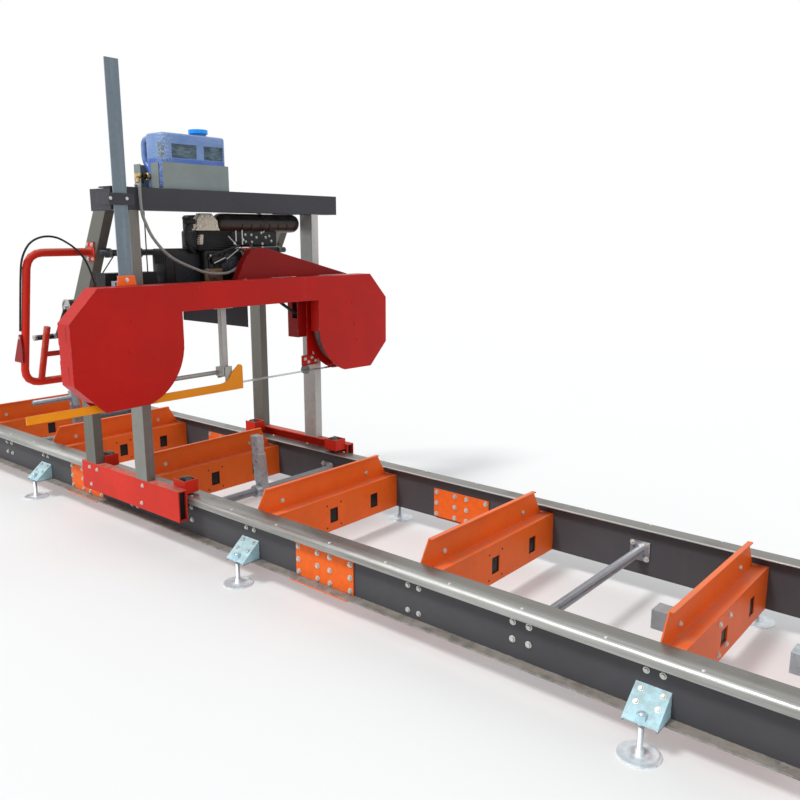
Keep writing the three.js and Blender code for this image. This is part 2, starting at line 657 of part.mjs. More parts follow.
// Push handle: a bent tube on a flange plate, with an inner brace and a cross tube
function pushHandle() {
  const face = -base.outer - seatGap;
  const lowX = handle.bottomX;
  const main = roundedPath([
    [handle.postX, face, handle.topZ], [handle.postX, -handle.outer, handle.topZ],
    [lowX, -handle.outer, handle.bottomZ], [lowX, face, handle.bottomZ],
  ], handle.bend);
  const leanAt = (z) => lowX + (handle.postX - lowX) * (z - handle.bottomZ) / (handle.topZ - handle.bottomZ);
  const brace = bar(handle.radius - overrun / 2, smallSides,
    [leanAt(handleBrace.top), -handleBrace.inner, handleBrace.top],
    [lowX, -handleBrace.outer, handle.bottomZ]);
  const share = (handleBrace.barZ - handle.bottomZ) / (handleBrace.top - handle.bottomZ);
  const barY = -handleBrace.outer + (handleBrace.outer - handleBrace.inner) * share;
  const cross = bar(handle.radius - overrun, smallSides, [leanAt(handleBrace.barZ), barY, handleBrace.barZ],
    [leanAt(handleBrace.barZ), face, handleBrace.barZ]);
  const flange = block([handle.postX - handle.flange / 3, handle.postX + handle.flange / 3],
    [face, face - handle.flangeThickness],
    [handle.topZ - handle.flange / 2, handle.topZ + handle.flange / 2]);
  return joined([tubeAlong(main, handle.radius, smallSides, handleSteps), brace, cross, flange]);
}

// Throttle lever: a plate on a pin beside the grip of the push handle
const throttleX = handle.bottomX + (handle.postX - handle.bottomX)
  * (throttle.pivotZ - handle.bottomZ) / (handle.topZ - handle.bottomZ);
function throttleLever() {
  const near = -handle.outer - handle.radius - turnGap;
  const far = near - throttle.thickness;
  const { pivotZ, width, drop, offset } = throttle;
  return prism('y', [
    [throttleX - offset, pivotZ + offset * 2], [throttleX + offset, pivotZ + offset * 2],
    [throttleX + offset, pivotZ - drop], [throttleX - width, pivotZ - drop],
    [throttleX - width, pivotZ - drop + offset],
  ], far, near);
}

function liftShaft() {
  const { x, z, radius } = shaft;
  const half = base.outer - shaft.inset;
  const solids = [bar(radius, mediumSides, [x, -half, z], [x, half, z])];
  for (const [, side] of sides) {
    const drumY = [side * shaft.drumY, side * (shaft.drumY + shaft.drumWidth)];
    solids.push(bar(shaft.drumRadius, mediumSides, [x, drumY[0], z], [x, drumY[1], z]));
  }
  return joined(solids);
}

// Winch crank: a notched disc, an arm and a grip
function winchCrank() {
  const face = -winch.hubInner - seatGap;
  const outer = -winch.hubOuter;
  const solids = [bar(winch.hubRadius, largeSides, [winch.x, face, winch.z], [winch.x, outer, winch.z])];
  const reach = new THREE.Vector2(winch.armX - winch.x, winch.armZ - winch.z);
  const across = new THREE.Vector2(-reach.y, reach.x).normalize().multiplyScalar(winch.armHalf);
  solids.push(prism('y', [
    [winch.x + across.x, winch.z + across.y], [winch.x - across.x, winch.z - across.y],
    [winch.armX - across.x, winch.armZ - across.y], [winch.armX + across.x, winch.armZ + across.y],
  ], outer + join, outer - winch.armThickness));
  solids.push(bar(winch.gripRadius, smallSides, [winch.armX, outer, winch.armZ],
    [winch.armX, -winch.gripEnd, winch.armZ]));
  return joined(solids);
}

function tankTray() {
  const { near, far, front, back, wall, height, floor, frontStrip, rearStrip } = tray;
  const bottom = floor + seatGap;
  const solids = [
    block([back, front], [near, far], [bottom, bottom + wall]),
    block([front - wall, front], [near, far], [bottom, bottom + height]),
    block([back, back + wall], [near, far], [bottom, bottom + height]),
    block(frontStrip, [near, near + wall], [bottom, bottom + height]),
    block([back, rearStrip], [near, near + wall], [bottom, bottom + height]),
    block([back, front], [far - wall, far], [bottom, bottom + height / 2]),
  ];
  return joined(solids);
}

// Water tank: a rounded box with two recesses at the front, a neck, a carrying grip and the tap's body
const tankNear = tray.near + tray.wall + seatGap;
function waterTank() {
  const near = tankNear;
  const far = tray.far - tray.wall - seatGap;
  const front = tray.front - tray.wall - seatGap;
  const back = tank.back;
  const bottom = tray.floor + seatGap * 2 + tray.wall;
  const r = tank.corner;
  const inset = tank.bevel;
  const shape = new THREE.Shape([
    ...arc([front - r, far - r], r - inset, 0, 90, 4), ...arc([back + r, far - r], r - inset, 90, 180, 4),
    ...arc([back + r, near + r], r - inset, 180, 270, 4),
    ...arc([front - r, near + r], r - inset, 270, 360, 4),
  ].map(([a, b]) => new THREE.Vector2(a, b)));
  const geometry = new THREE.ExtrudeGeometry(shape, {
    depth: tank.top - bottom - 2 * inset, bevelEnabled: true, bevelThickness: inset,
    bevelSize: inset, bevelSegments: 2,
  });
  geometry.translate(0, 0, bottom + inset);
  let whole = solidFrom(geometry);
  for (const recess of [tank.recessNear, tank.recessFar]) {
    whole = whole.subtract(block([front - tank.recessDepth, front + overrun], recess, tank.recessZ));
  }
  const neckTop = tank.top + tank.neckHeight;
  whole = whole.add(bar(tank.neckRadius, largeSides, [tank.neckX, tank.neckY, tank.top - inset],
    [tank.neckX, tank.neckY, neckTop]));
  const grip = roundedPath([
    [back + join, tank.gripY, tank.gripTop], [tank.gripBack, tank.gripY, tank.gripTop],
    [tank.gripBack, tank.gripY, tank.gripTurn], [back + join, tank.gripY, tank.gripBottom],
  ], tank.gripBend);
  return joined([whole, tubeAlong(grip, tank.gripRadius, smallSides, gripSteps), tapBody(near)]);
}

function tankCapSolid() {
  const bottom = tank.top + tank.neckHeight + seatGap;
  const outline = [];
  for (let i = 0; i < tankCap.ribs * 2; i += 1) {
    const radius = tankCap.radius - (i % 2) * tankCap.rib;
    const angle = Math.PI * i / tankCap.ribs;
    outline.push([tank.neckX + radius * Math.cos(angle), tank.neckY + radius * Math.sin(angle)]);
  }
  return prism('z', outline, bottom, bottom + tankCap.height);
}

// Tap: its body screws into the tank's near end, and a lever turns beside it
function tapBody(face) {
  const tip = face - tap.reach;
  const outlet = tip + tap.radius;
  return joined([
    bar(tap.radius, smallSides, [tap.x, face + join, tap.z], [tap.x, tip, tap.z]),
    bar(tap.nutRadius, hexSides, [tap.x, face + join, tap.z], [tap.x, face - tap.radius, tap.z]),
    bar(tap.spoutRadius, smallSides, [tap.x, outlet, tap.z], [tap.x, outlet, tap.z - tap.spoutDrop]),
    bar(tap.stemRadius, smallSides, [tap.x, outlet + tap.stemBack, tap.z],
      [tap.x + tap.stemHeight, outlet + tap.stemBack, tap.z]),
  ]);
}
function tapLever() {
  const y = tankNear - tap.reach + tap.radius + tap.stemBack;
  const x = tap.x + tap.stemHeight + seatGap;
  return joined([
    bar(tap.spoutRadius, smallSides, [x, y, tap.z], [x + tap.leverThickness, y, tap.z]),
    block([x, x + tap.leverThickness], [y - tap.leverHalf, y + tap.leverHalf],
      [tap.z - tap.leverDown, tap.z + tap.leverUp]),
  ]);
}

const carriageGroup = new THREE.Group();
for (const [name, side] of sides) {
  carriageGroup.add(piece(`${name}_carriage_base`, carriageBase(side), red));
  carriageGroup.add(piece(`${name}_rear_roller`, rollerSolid(), rubberBlack,
    [roller.rearX, side * roller.centre, rollerZ]));
  carriageGroup.add(piece(`${name}_front_roller`, rollerSolid(), rubberBlack,
    [roller.frontX, side * roller.centre, rollerZ]));
  carriageGroup.add(piece(`${name}_front_post`, frontPost(side), postGrey));
  carriageGroup.add(piece(`${name}_rear_post`, rearPost(side), postGrey));
}
carriageGroup.add(piece('top_frame', topFrame(), beamGrey));
carriageGroup.add(piece('push_handle', pushHandle(), red));
carriageGroup.add(piece('throttle_lever', throttleLever(), darkRed));
carriageGroup.add(piece('lift_shaft', liftShaft(), brightSteel));
carriageGroup.add(piece('winch_crank', winchCrank(), black));
carriageGroup.add(piece('tank_tray', tankTray(), trayGrey));
carriageGroup.add(piece('water_tank', waterTank(), tankBlue));
carriageGroup.add(piece('tank_cap', tankCapSolid(), capBlue));
carriageGroup.add(piece('tap_lever', tapLever(), black));

// Outline of one wheel cover, from the inner top corner round the outer corners to the arc
function coverOutline(innerEdge, withWing) {
  const wheelCentre = [wheelSpread, wheelZ];
  const startAngle = 180 + THREE.MathUtils.radToDeg(Math.asin(
    (wheelZ - cover.bottom - cover.sheet) / cover.arcRadius));
  const lower = arc(wheelCentre, cover.arcRadius, startAngle, 180, arcSteps);
  const points = [
    [innerEdge, cover.top], [cover.chamfer, cover.top], [cover.outer, cover.sideTop],
    [cover.outer, cover.sideBottom], [cover.chamfer, cover.bottom], ...lower,
  ];
  points.push([cover.inner, cover.beamBottom]);
  if (withWing) points.push([innerEdge, cover.beamBottom]);
  return points;
}

// Hinged wheel cover: a front sheet with walls along the top, the outer side and the chamfers
function wheelCover(side) {
  const sheet = cover.sheet;
  const solids = [prism('x', sided(side, coverOutline(cover.seam, true)), cover.front - sheet, cover.front)];
  const rim = [
    [cover.seam, cover.top], [cover.chamfer, cover.top], [cover.outer, cover.sideTop],
    [cover.outer, cover.sideBottom],
  ];
  const slope = (cover.outer - cover.chamfer) / (cover.sideBottom - cover.bottom);
  rim.push([cover.outer - (cover.sideBottom - cover.wallEnd) * slope, cover.wallEnd]);
  const innerRim = rim.map(([y, z], i) => {
    const drop = i < 2 ? sheet : 0;
    const narrow = i === 0 ? 0 : sheet * (i === 1 ? 1 / 2 : 1);
    return [y - narrow, z - drop];
  });
  solids.push(prism('x', sided(side, [...rim, ...innerRim.reverse()]), cover.back, cover.front - join));
  const innerWall = [cover.inner, cover.inner + sheet];
  solids.push(block([cover.sideWallBack, cover.front - join], innerWall.map((y) => side * y),
    [cover.sideWallBottom, cover.beamBottom]));
  return joined(solids);
}

// Head frame: back plates, the boxed front beam, sleeves on the front posts and the engine bed
function headFrame() {
  const solids = [];
  const { plateFront, plateBack } = frame;
  const beamHalf = cover.seam - seatGap;
  const beamZ = [cover.beamBottom, cover.top];
  solids.push(block([cover.front - cover.sheet, cover.front], [-beamHalf, beamHalf], beamZ));
  const sheetsZ = [
    [cover.top - cover.sheet, cover.top], [cover.beamBottom, cover.beamBottom + cover.sheet],
  ];
  for (const z of sheetsZ) {
    solids.push(block([plateBack, cover.front - join], [-beamHalf, beamHalf], z));
  }
  solids.push(block([plateBack, plateFront], [-beamHalf, beamHalf], beamZ));
  for (const [name, side] of sides) {
    const wing = coverOutline(beamHalf - join, true).map(([y, z]) => [
      Math.min(y, cover.outer - frame.edge), Math.min(z, frame.top),
    ]);
    solids.push(prism('x', sided(side, wing), plateBack, plateFront));
    const inner = base.outer - post.width;
    const plates = [
      [inner - runGap - sleeve.plate, inner - runGap],
      [base.outer + runGap, base.outer + runGap + sleeve.plate],
    ];
    const rear = post.frontX - post.depth - runGap;
    for (const [a, b] of plates) {
      solids.push(block([rear - sleeve.plate, plateBack + join], [side * a, side * b],
        [sleeve.bottom, sleeve.top]));
    }
    solids.push(block([rear - sleeve.plate, rear], [side * plates[0][0], side * plates[1][1]],
      [sleeve.bottom, sleeve.top]));
    solids.push(block([post.frontX + runGap, plateBack + join], [side * inner, side * base.outer],
      [sleeve.bottom, sleeve.top]));
    const y = side * wheelSpread;
    solids.push(bar(axle.housingRadius, largeSides, [plateFront + join, y, wheelZ],
      [drivenPulley.front + turnGap * 2, y, wheelZ]));
    if (name === 'near') {
      solids.push(bar(axle.radius, mediumSides, [plateBack, y, wheelZ],
        [wheel.hubFront + runGap, y, wheelZ]));
      solids.push(bar(axle.capRadius, mediumSides, [wheel.hubFront + turnGap, y, wheelZ],
        [wheel.hubFront + axle.capThickness, y, wheelZ]));
    }
  }
  // Engine bed: a tongue to the front beam and a wide deck behind the posts
  const deckZ = [bed.top - bed.plate, bed.top];
  solids.push(block([bed.back, bed.front], [bed.near, bed.far], deckZ));
  solids.push(block([bed.front - join, plateBack + join], [bed.near, bed.tongueFar], deckZ));
  for (const y of [bed.near, bed.tongueFar]) {
    solids.push(prism('y', [
      [plateBack + join, bed.top - join], [plateBack + join, cover.beamBottom],
      [bed.front, cover.beamBottom], [bed.ribBack, bed.top - bed.plate], [bed.ribBack, bed.top - join],
    ], y, y + bed.plate));
  }
  for (const [, side] of sides) {
    const y = side * (base.outer - post.width - runGap);
    const bedEdge = side < 0 ? bed.near : bed.far;
    const back = post.frontX - post.depth - runGap - sleeve.plate;
    solids.push(block([back - sleeve.plate, back], [y, y - side * sleeve.plate], [sleeve.bottom, bed.top]));
    solids.push(block([back - bed.strip, back], [y, bedEdge - side * join], deckZ));
  }
  solids.push(block([rearBar.back, rearBar.front], [rearBar.near, bed.near + join],
    [rearBar.bottom, rearBar.top]));
  // Fixed blade guide on a flat bar below the far end of the beam
  solids.push(block([plateBack, plateFront], [cover.inner, fixedGuide.barFar],
    [fixedGuide.barBottom, wheelZ]));
  solids.push(block([plateBack, plateFront + fixedGuide.blockDepth / 2],
    [fixedGuide.blockNear, fixedGuide.blockFar], [fixedGuide.blockBottom, fixedGuide.blockTop]));
  solids.push(bar(fixedGuide.rollerRadius, mediumSides,
    [plateBack, fixedGuide.rollerY, wheelZ - wheel.radius],
    [blade.back - turnGap, fixedGuide.rollerY, wheelZ - wheel.radius]));
  const shaftBore = bar(axle.radius + turnGap, mediumSides, [belt.back - overrun, wheelSpread, wheelZ],
    [cover.front - cover.sheet - overrun, wheelSpread, wheelZ]);
  return joined(solids).subtract(shaftBore);
}

// Band wheel: a rim, a web with lightening holes and a hub, bored for the axle
function bandWheel(withShaft) {
  const { radius, front, back, rim, web, hubRadius, hubBack, hubFront } = wheel;
  const bore = axle.radius + turnGap;
  const middle = (front + back) / 2;
  let whole = turned('x', [
    [bore, hubBack], [hubRadius, hubBack], [hubRadius, middle - web / 2], [radius - rim, middle - web / 2],
    [radius - rim, back], [radius, back], [radius, front], [radius - rim, front],
    [radius - rim, middle + web / 2], [hubRadius, middle + web / 2], [hubRadius, hubFront],
    [bore, hubFront], [bore, hubBack],
  ], [0, 0, 0], wheelSides);
  for (let i = 0; i < wheel.holes; i += 1) {
    const angle = 2 * Math.PI * i / wheel.holes;
    const y = wheel.holeCircle * Math.cos(angle);
    const z = wheel.holeCircle * Math.sin(angle);
    whole = whole.subtract(bar(wheel.holeRadius, mediumSides, [back, y, z], [front, y, z]));
  }
  if (!withShaft) return whole;
  return joined([
    whole,
    bar(axle.radius, mediumSides, [drivenPulley.back, 0, 0], [hubFront + axle.capThickness / 2, 0, 0]),
    bar(axle.radius + join, mediumSides, [hubBack + join, 0, 0], [hubFront, 0, 0]),
    bar(drivenPulley.radius, wheelSides, [drivenPulley.back, 0, 0], [drivenPulley.front, 0, 0]),
  ]);
}

// Loop of even thickness round two circles, in the plane across the wheel axles
function loopOutline(first, firstRadius, second, secondRadius, steps) {
  const along = new THREE.Vector2(second[0] - first[0], second[1] - first[1]);
  const heading = THREE.MathUtils.radToDeg(along.angle());
  const spread = THREE.MathUtils.radToDeg(Math.acos((firstRadius - secondRadius) / along.length()));
  return [
    ...arc(second, secondRadius, heading - spread, heading + spread, steps),
    ...arc(first, firstRadius, heading + spread, heading - spread + 360, steps),
  ];
}
function loopBand(first, firstRadius, second, secondRadius, thickness, from, to) {
  const steps = wheelSides / 2;
  const inside = loopOutline(first, firstRadius, second, secondRadius, steps);
  const outside = loopOutline(first, firstRadius + thickness, second, secondRadius + thickness, steps);
  return prism('x', outside, from, to).subtract(prism('x', inside, from - overrun, to + overrun));
}

// Movable guide: a hanging square bar with a flange, a round bar and a foot with the guide
function guideArm() {
  const { near, far, front, back, bottom, flange, flangeHeight, barRadius, barX, barZ } = arm;
  const flangeTop = cover.beamBottom - turnGap;
  const middle = (near + far) / 2;
  return joined([
    block([back, front], [near, far], [bottom, flangeTop - join]),
    block([arm.flangeBack, front], [middle - flange / 2, middle + flange / 2],
      [flangeTop - flangeHeight, flangeTop]),
    bar(barRadius, smallSides, [barX, arm.barNear, barZ], [barX, far, barZ]),
    block([barX - barRadius, front], [near, far], [barZ - arm.collar / 2, bottom + join]),
    block([guard.back - seatGap - arm.footPlate, guard.back - seatGap],
      [far - arm.collar, far + arm.footPlate], [arm.footBottom, bottom + join]),
    block([blade.back - turnGap - arm.footPlate, back], [far - arm.collar, far],
      [arm.footBottom, barZ]),
  ]);
}

// Blade guard: a long flat bar that rises in a curve to a rounded tip
function bladeGuard() {
  const g = guard;
  const riseWidth = g.riseFar - g.riseNear;
  const rise = arc([g.riseNear, g.top + riseWidth], riseWidth, 270, 340, 5);
  const tipRadius = (g.far - g.tipNear) / 2;
  const tip = arc([g.far - tipRadius, g.tip - tipRadius], tipRadius, 150, 20, 5);
  return prism('x', [
    [g.near, g.bottom + (g.top - g.bottom) / 2], [g.near, g.bottom], [g.far, g.lower], ...[...tip].reverse(),
    ...[...rise].reverse(),
    [g.near, g.top],
  ], g.back, g.front);
}

// Engine: crankcase, finned cylinder head, silencer, air box, starter housing and output shaft
function engineSolid() {
  const e = engine;
  const solids = [
    block([e.back, e.front], [e.near, e.far], [e.bottom, e.deck]),
    block([e.back + e.finPitch, e.front - e.finPitch], [e.near + e.finPitch, e.far - e.finPitch],
      [e.deck - join, e.top]),
    block([e.back + e.finPitch, e.front - e.finPitch], [e.headNear, e.headFar], [e.top - join, e.headTop]),
    block([muffler.back, muffler.front], [muffler.near - join * 2, muffler.far],
      [muffler.bottom, muffler.top]),
    block([muffler.back, muffler.front - e.finPitch], [muffler.near, e.far - e.finPitch], [e.top - join,
      muffler.bottom + join]),
    block([airBox.back, airBox.front], [airBox.near, airBox.far], [e.bottom, airBox.top]),
    bar(starter.radius, largeSides, [starter.x - join, starter.y, starter.z],
      [starter.x + starter.depth, starter.y, starter.z]),
    bar(enginePulley.bore, mediumSides, [e.front - join, enginePulley.y, enginePulley.z],
      [enginePulley.front + overrun / 2, enginePulley.y, enginePulley.z]),
    block([e.front - join * 2 - e.finPitch, e.front], [e.far - e.finPitch, enginePulley.y + e.finPitch * 2],
      [enginePulley.z - e.finPitch * 2, enginePulley.z + e.finPitch * 2]),
  ];
  for (let i = 0; i < e.fins; i += 1) {
    const z = e.deck + e.finReach + i * e.finPitch;
    solids.push(block([e.back + e.finReach, e.front - e.finReach], [e.near + e.finReach, e.far - e.finReach],
      [z, z + e.fin]));
  }
  return joined(solids);
}

function enginePulleySolid() {
  const p = enginePulley;
  return bar(p.radius, largeSides, [p.back, 0, 0], [p.front, 0, 0])
    .subtract(bar(p.bore + turnGap, mediumSides, [p.back - overrun, 0, 0], [p.front + overrun, 0, 0]));
}

// Belt guard: a front sheet with a folded top edge, and a boxed corner by the far wheel
function beltGuardSolid() {
  const g = beltGuard;
  const crest = [
    [g.left, g.low], [g.rise, g.riseZ], [g.shoulder, g.shoulderZ], [g.apex, g.apexZ],
    [g.slope, g.slopeZ], [g.end, g.endZ],
  ];
  const lower = crest.map(([y, z], i) => [y + (i < 2 ? g.sheet : 0), z - (i < 2 ? 0 : g.sheet)]);
  const low = cover.top + seatGap;
  const front = [...crest, [g.end, low], [g.left, low]];
  return joined([
    prism('x', front, g.front - g.sheet, g.front),
    prism('x', [...crest, ...[...lower].reverse()], g.back, g.front - join),
    block([g.front - g.sheet, g.front], [g.sideNear, g.sideFar], [g.sideBottom, low + join]),
    block([g.sideBack, g.back], [g.sideNear, g.sideNear + g.sheet], [g.sideBottom, g.sideTop]),
    block([g.back - join, g.front - join], [g.sideNear, g.sideNear + g.sheet], [g.sideBottom, g.notchBottom]),
    block([g.sideBack, g.front - join], [g.sideNear, g.sideFar], [g.sideBottom, g.sideBottom + g.sheet]),
  ]);
}

function mastSolid() {
  const m = mast;
  const bracketMiddle = -(mastNear + mastFar) / 2;
  const bracketX = [m.back + m.wall / 2, frame.plateBack - seatGap];
  const footZ = cover.top + seatGap;
  return joined([
    prism('x', [
      [bracketMiddle - m.footHalf, footZ], [bracketMiddle + m.footHalf, footZ],
      [bracketMiddle + m.footTopHalf, m.bracketTop], [bracketMiddle - m.footTopHalf, m.bracketTop],
    ], m.front - join, m.front + m.footPlate),
    block([m.front - m.wall, m.front], [-mastNear, -mastFar], [m.bottom, m.top]),
    block([m.back, m.front], [-mastFar - m.wall, -mastFar], [m.bottom, m.top]),
    block([m.front - m.wall * 2, m.front], [bracketMiddle - m.bracketHalf, bracketMiddle + m.bracketHalf],
      [m.bottom, m.bracketTop]),
    block([bracketX[0], m.front - join], [bracketMiddle - m.bracketHalf, bracketMiddle + m.bracketHalf],
      [m.bottom, m.bottom + m.wall]),
    block(bracketX, [bracketMiddle - m.bracketHalf, bracketMiddle + m.bracketHalf],
      [sleeve.top + m.bracketHalf, m.bottom + join]),
  ]);
}

const headGroup = new THREE.Group();
headGroup.add(piece('head_frame', headFrame(), red));
headGroup.add(piece('left_cover', wheelCover(-1), red));
headGroup.add(piece('right_cover', wheelCover(1), red));
headGroup.add(piece('near_band_wheel', bandWheel(false), brightSteel, [0, -wheelSpread, wheelZ]));
headGroup.add(piece('far_band_wheel', bandWheel(true), brightSteel, [0, wheelSpread, wheelZ]));
const bandRadius = wheel.radius + blade.gap;
headGroup.add(piece('saw_blade', loopBand([-wheelSpread, wheelZ], bandRadius, [wheelSpread, wheelZ],
  bandRadius, blade.thickness, blade.back, blade.front), brightSteel));
headGroup.add(piece('guide_arm', guideArm(), postGrey));
headGroup.add(piece('blade_guard', bladeGuard(), yellow));
headGroup.add(piece('engine', engineSolid(), black));
headGroup.add(piece('engine_pulley', enginePulleySolid(), brightSteel, [0, enginePulley.y, enginePulley.z]));
headGroup.add(piece('drive_belt', loopBand([enginePulley.y, enginePulley.z], enginePulley.radius + turnGap,
  [wheelSpread, wheelZ], drivenPulley.radius + turnGap, belt.thickness, belt.back, belt.front), rubberBlack));
headGroup.add(piece('belt_guard', beltGuardSolid(), darkRed));
headGroup.add(piece('mast', mastSolid(), zinc));
headGroup.add(piece('sawdust_deflector', prism('x', [
  [deflector.near, deflector.nearZ], [deflector.far, deflector.farZ],
  [deflector.far, bed.top - bed.plate - seatGap], [deflector.near, bed.top - bed.plate - seatGap],
], deflector.x - deflector.thickness, deflector.x), beamGrey));

// Hose from the tap to the blade, and the cable from the throttle lever to the engine
function cordPiece(name, route, radius, material, steps) {
  const curve = new THREE.CatmullRomCurve3(route.map((point) => new THREE.Vector3(...point)));
  return piece(name, tubeAlong(curve, radius, cordSides, steps), material);
}
carriageGroup.add(cordPiece('water_hose', hoseRoute, hoseRadius, hoseGrey, hoseSteps));
carriageGroup.add(cordPiece('throttle_cable', cableRoute, cableRadius, rubberBlack, cableSteps));

// The whole stands on the ground with its origin under the middle of its bounding box
const sawmill = new THREE.Group();
carriageGroup.add(headGroup);
sawmill.add(trackGroup, carriageGroup);
const bounds = new THREE.Box3().setFromObject(sawmill);
const middle = bounds.getCenter(new THREE.Vector3());
sawmill.position.set(-middle.x, -middle.y, -bounds.min.z);

export default sawmill;
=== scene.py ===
"""Looks of a portable sawmill: finishes for its parts, and the fine pieces that the solids leave out.

Metres, +X along the track, +Y towards the far rail, +Z up, the ground at z = 0.
"""

import math

import bmesh
import bpy
import numpy as np
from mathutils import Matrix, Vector


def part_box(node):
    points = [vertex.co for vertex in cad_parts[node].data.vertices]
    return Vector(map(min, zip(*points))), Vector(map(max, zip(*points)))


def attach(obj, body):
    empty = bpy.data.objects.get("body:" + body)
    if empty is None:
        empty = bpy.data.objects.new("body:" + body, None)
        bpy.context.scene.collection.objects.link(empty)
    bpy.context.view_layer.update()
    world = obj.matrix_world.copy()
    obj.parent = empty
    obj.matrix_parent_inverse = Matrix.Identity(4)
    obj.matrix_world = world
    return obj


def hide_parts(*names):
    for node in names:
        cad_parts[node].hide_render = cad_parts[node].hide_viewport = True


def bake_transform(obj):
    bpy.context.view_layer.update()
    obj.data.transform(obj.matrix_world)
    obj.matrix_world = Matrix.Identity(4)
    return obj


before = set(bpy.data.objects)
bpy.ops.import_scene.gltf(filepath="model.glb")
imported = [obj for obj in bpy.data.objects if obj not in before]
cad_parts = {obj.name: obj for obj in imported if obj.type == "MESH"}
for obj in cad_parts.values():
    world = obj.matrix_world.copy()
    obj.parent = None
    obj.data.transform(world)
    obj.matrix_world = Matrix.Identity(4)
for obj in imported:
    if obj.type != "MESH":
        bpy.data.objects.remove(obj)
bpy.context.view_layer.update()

bl_info = {
    "name": "Portable sawmill",
    "version": (1, 0, 0),
    "blender": (4, 5, 0),
    "location": "View3D > Sidebar > Sawmill",
    "description": "Dresses the packed sawmill with finishes, fasteners, hoses and an engine",
    "category": "Object",
}

SIDES = (("near", -1.0), ("far", 1.0))
FULL_TURN = 2 * math.pi

# Places read from the frame
CENTRE_Y = (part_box("near_rail_cap")[0].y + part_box("far_rail_cap")[1].y) / 2
CAP_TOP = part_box("near_rail_cap")[1].z
TRACK_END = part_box("near_rail_cap")[1].x
SECTION = 2 * TRACK_END / 3
HEAD_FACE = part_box("left_cover")[1].x
TANK_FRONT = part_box("tank_tray")[1].x - 0.0033
BEAM_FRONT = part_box("far_front_post")[1].x

# Places that the solids have inside their boxes; those across the track are from its centre line
WEB_OUTER = 0.4
# Edges of the painted highlight on the caps: the far cap's inner edge, and a band on the near cap's top.
SHEEN_EDGE = 0.372
SHEEN_BAND = (0.395, 0.436)
FOOT_OFFSET = 0.39
RECEIVER = (-0.004, 0.148, 0.0305)
WHEEL_SPREAD = 0.598
MAST_FRONT = -0.074
MAST_FOOT_TOP = 1.1205
TANK_WATER = 1.563
TANK_RECESS_TOP = 1.621
TANK_CORNER = -0.312
DRUM_RADIUS = 0.02
DRUM_WIRE = 0.32
BED_TOP = 1.064
BED_BACK = -0.345


def across(s):
    """A place across the track, s metres from its centre line, as a y of the frame."""
    return CENTRE_Y + s


def spot(x, s, z):
    """A point at x along the track, s from its centre line and z above the ground."""
    return np.array([x, across(s), z])


# Sizes and colours that a user would change


def length_setting(name, default, text):
    """A length in metres, shown with its unit."""
    return bpy.props.FloatProperty(
        name=name, description=text, default=default, min=0.0, precision=4,
        subtype="DISTANCE", unit="LENGTH",
    )


def colour_setting(name, default, text):
    """A colour as written on a colour wheel, linear red, green and blue."""
    return bpy.props.FloatVectorProperty(
        name=name, description=text, default=default, min=0.0, max=1.0, size=3, subtype="COLOR"
    )


class SawmillSizes(bpy.types.PropertyGroup):
    """Sizes of the fine pieces."""

    bolt_radius: length_setting("Bolt head radius", 0.0075, "Across the corners of a hexagon head, halved")
    bolt_height: length_setting("Bolt head height", 0.0065, "Height of a hexagon head")
    washer_radius: length_setting("Washer radius", 0.0105, "Outer radius of a plain washer")
    rivet_radius: length_setting("Rivet radius", 0.006, "Radius of a dome rivet on the covers")
    hose_radius: length_setting("Hose radius", 0.006, "Outer radius of the water hose")
    cable_radius: length_setting("Cable radius", 0.004, "Outer radius of the throttle cable")
    wire_radius: length_setting("Lift wire radius", 0.0025, "Radius of the wires that carry the head")
    tooth_pitch: length_setting("Tooth pitch", 0.0222, "Distance from tooth to tooth on the blade")
    tooth_depth: length_setting("Tooth depth", 0.006, "Depth of the gullets of the blade")
    edge_wear: length_setting("Edge wear", 0.0022, "Width of the worn paint along edges")
    floor_radius: length_setting("Floor radius", 60.0, "Radius of the studio floor")


class SawmillColours(bpy.types.PropertyGroup):
    """Colours of the finishes, linear."""

    red: colour_setting("Red", (0.5, 0.006, 0.002), "Powder coat of the head")
    base_red: colour_setting("Base red", (0.62, 0.022, 0.008), "Powder coat of the carriage base")
    # The head's red darkened as painted shade: belt guard, its back plate, latch slots; the lever shares
    # it.
    dark_red: colour_setting("Dark red", (0.25, 0.002, 0.001), "Belt guard and throttle lever")
    orange: colour_setting("Orange", (0.9, 0.145, 0.016), "Bunks, splice plates and the mast's foot")
    yellow: colour_setting("Yellow", (0.9, 0.3, 0.007), "Blade guard")
    rail: colour_setting("Rail grey", (0.07, 0.068, 0.074), "Rails")
    beam: colour_setting("Beam grey", (0.052, 0.052, 0.062), "Top frame and deflector")
    slate: colour_setting("Slate", (0.04, 0.044, 0.054), "Air box and lift shaft")
    bronze: colour_setting("Bronze", (0.2, 0.13, 0.075), "Bare castings low on the engine")
    tray: colour_setting("Tray grey", (0.24, 0.28, 0.272), "Tray of the water tank")
    black: colour_setting("Black", (0.012, 0.012, 0.013), "Engine covers and winch")
    tank: colour_setting("Tank blue", (0.15, 0.28, 0.58), "Water tank")
    tank_cap: colour_setting("Cap blue", (0.0, 0.34, 1.0), "Screw cap of the tank")
    dust: colour_setting("Dust", (0.36, 0.29, 0.22), "Dust that lies on upper faces")
    floor: colour_setting("Floor", (0.72, 0.72, 0.71), "Studio floor and background")


# Surfaces worked out with numpy


def skin(rings, closed=True):
    """Vertices and faces of a grid of rings: ring i, point j joins ring i + 1, point j + 1, and the last
    point of a ring joins its first. When closed, one face fills each end."""
    count, around = rings.shape[:2]
    i = np.arange(count - 1)[:, None]
    j = np.arange(around)[None, :]
    k = (j + 1) % around
    quads = np.stack([i * around + j, i * around + k, (i + 1) * around + k, (i + 1) * around + j], -1)
    faces = quads.reshape(-1, 4).tolist()
    if closed:
        faces.append(list(range(around))[::-1])
        faces.append(list(range((count - 1) * around, count * around)))
    return rings.reshape(-1, 3), faces


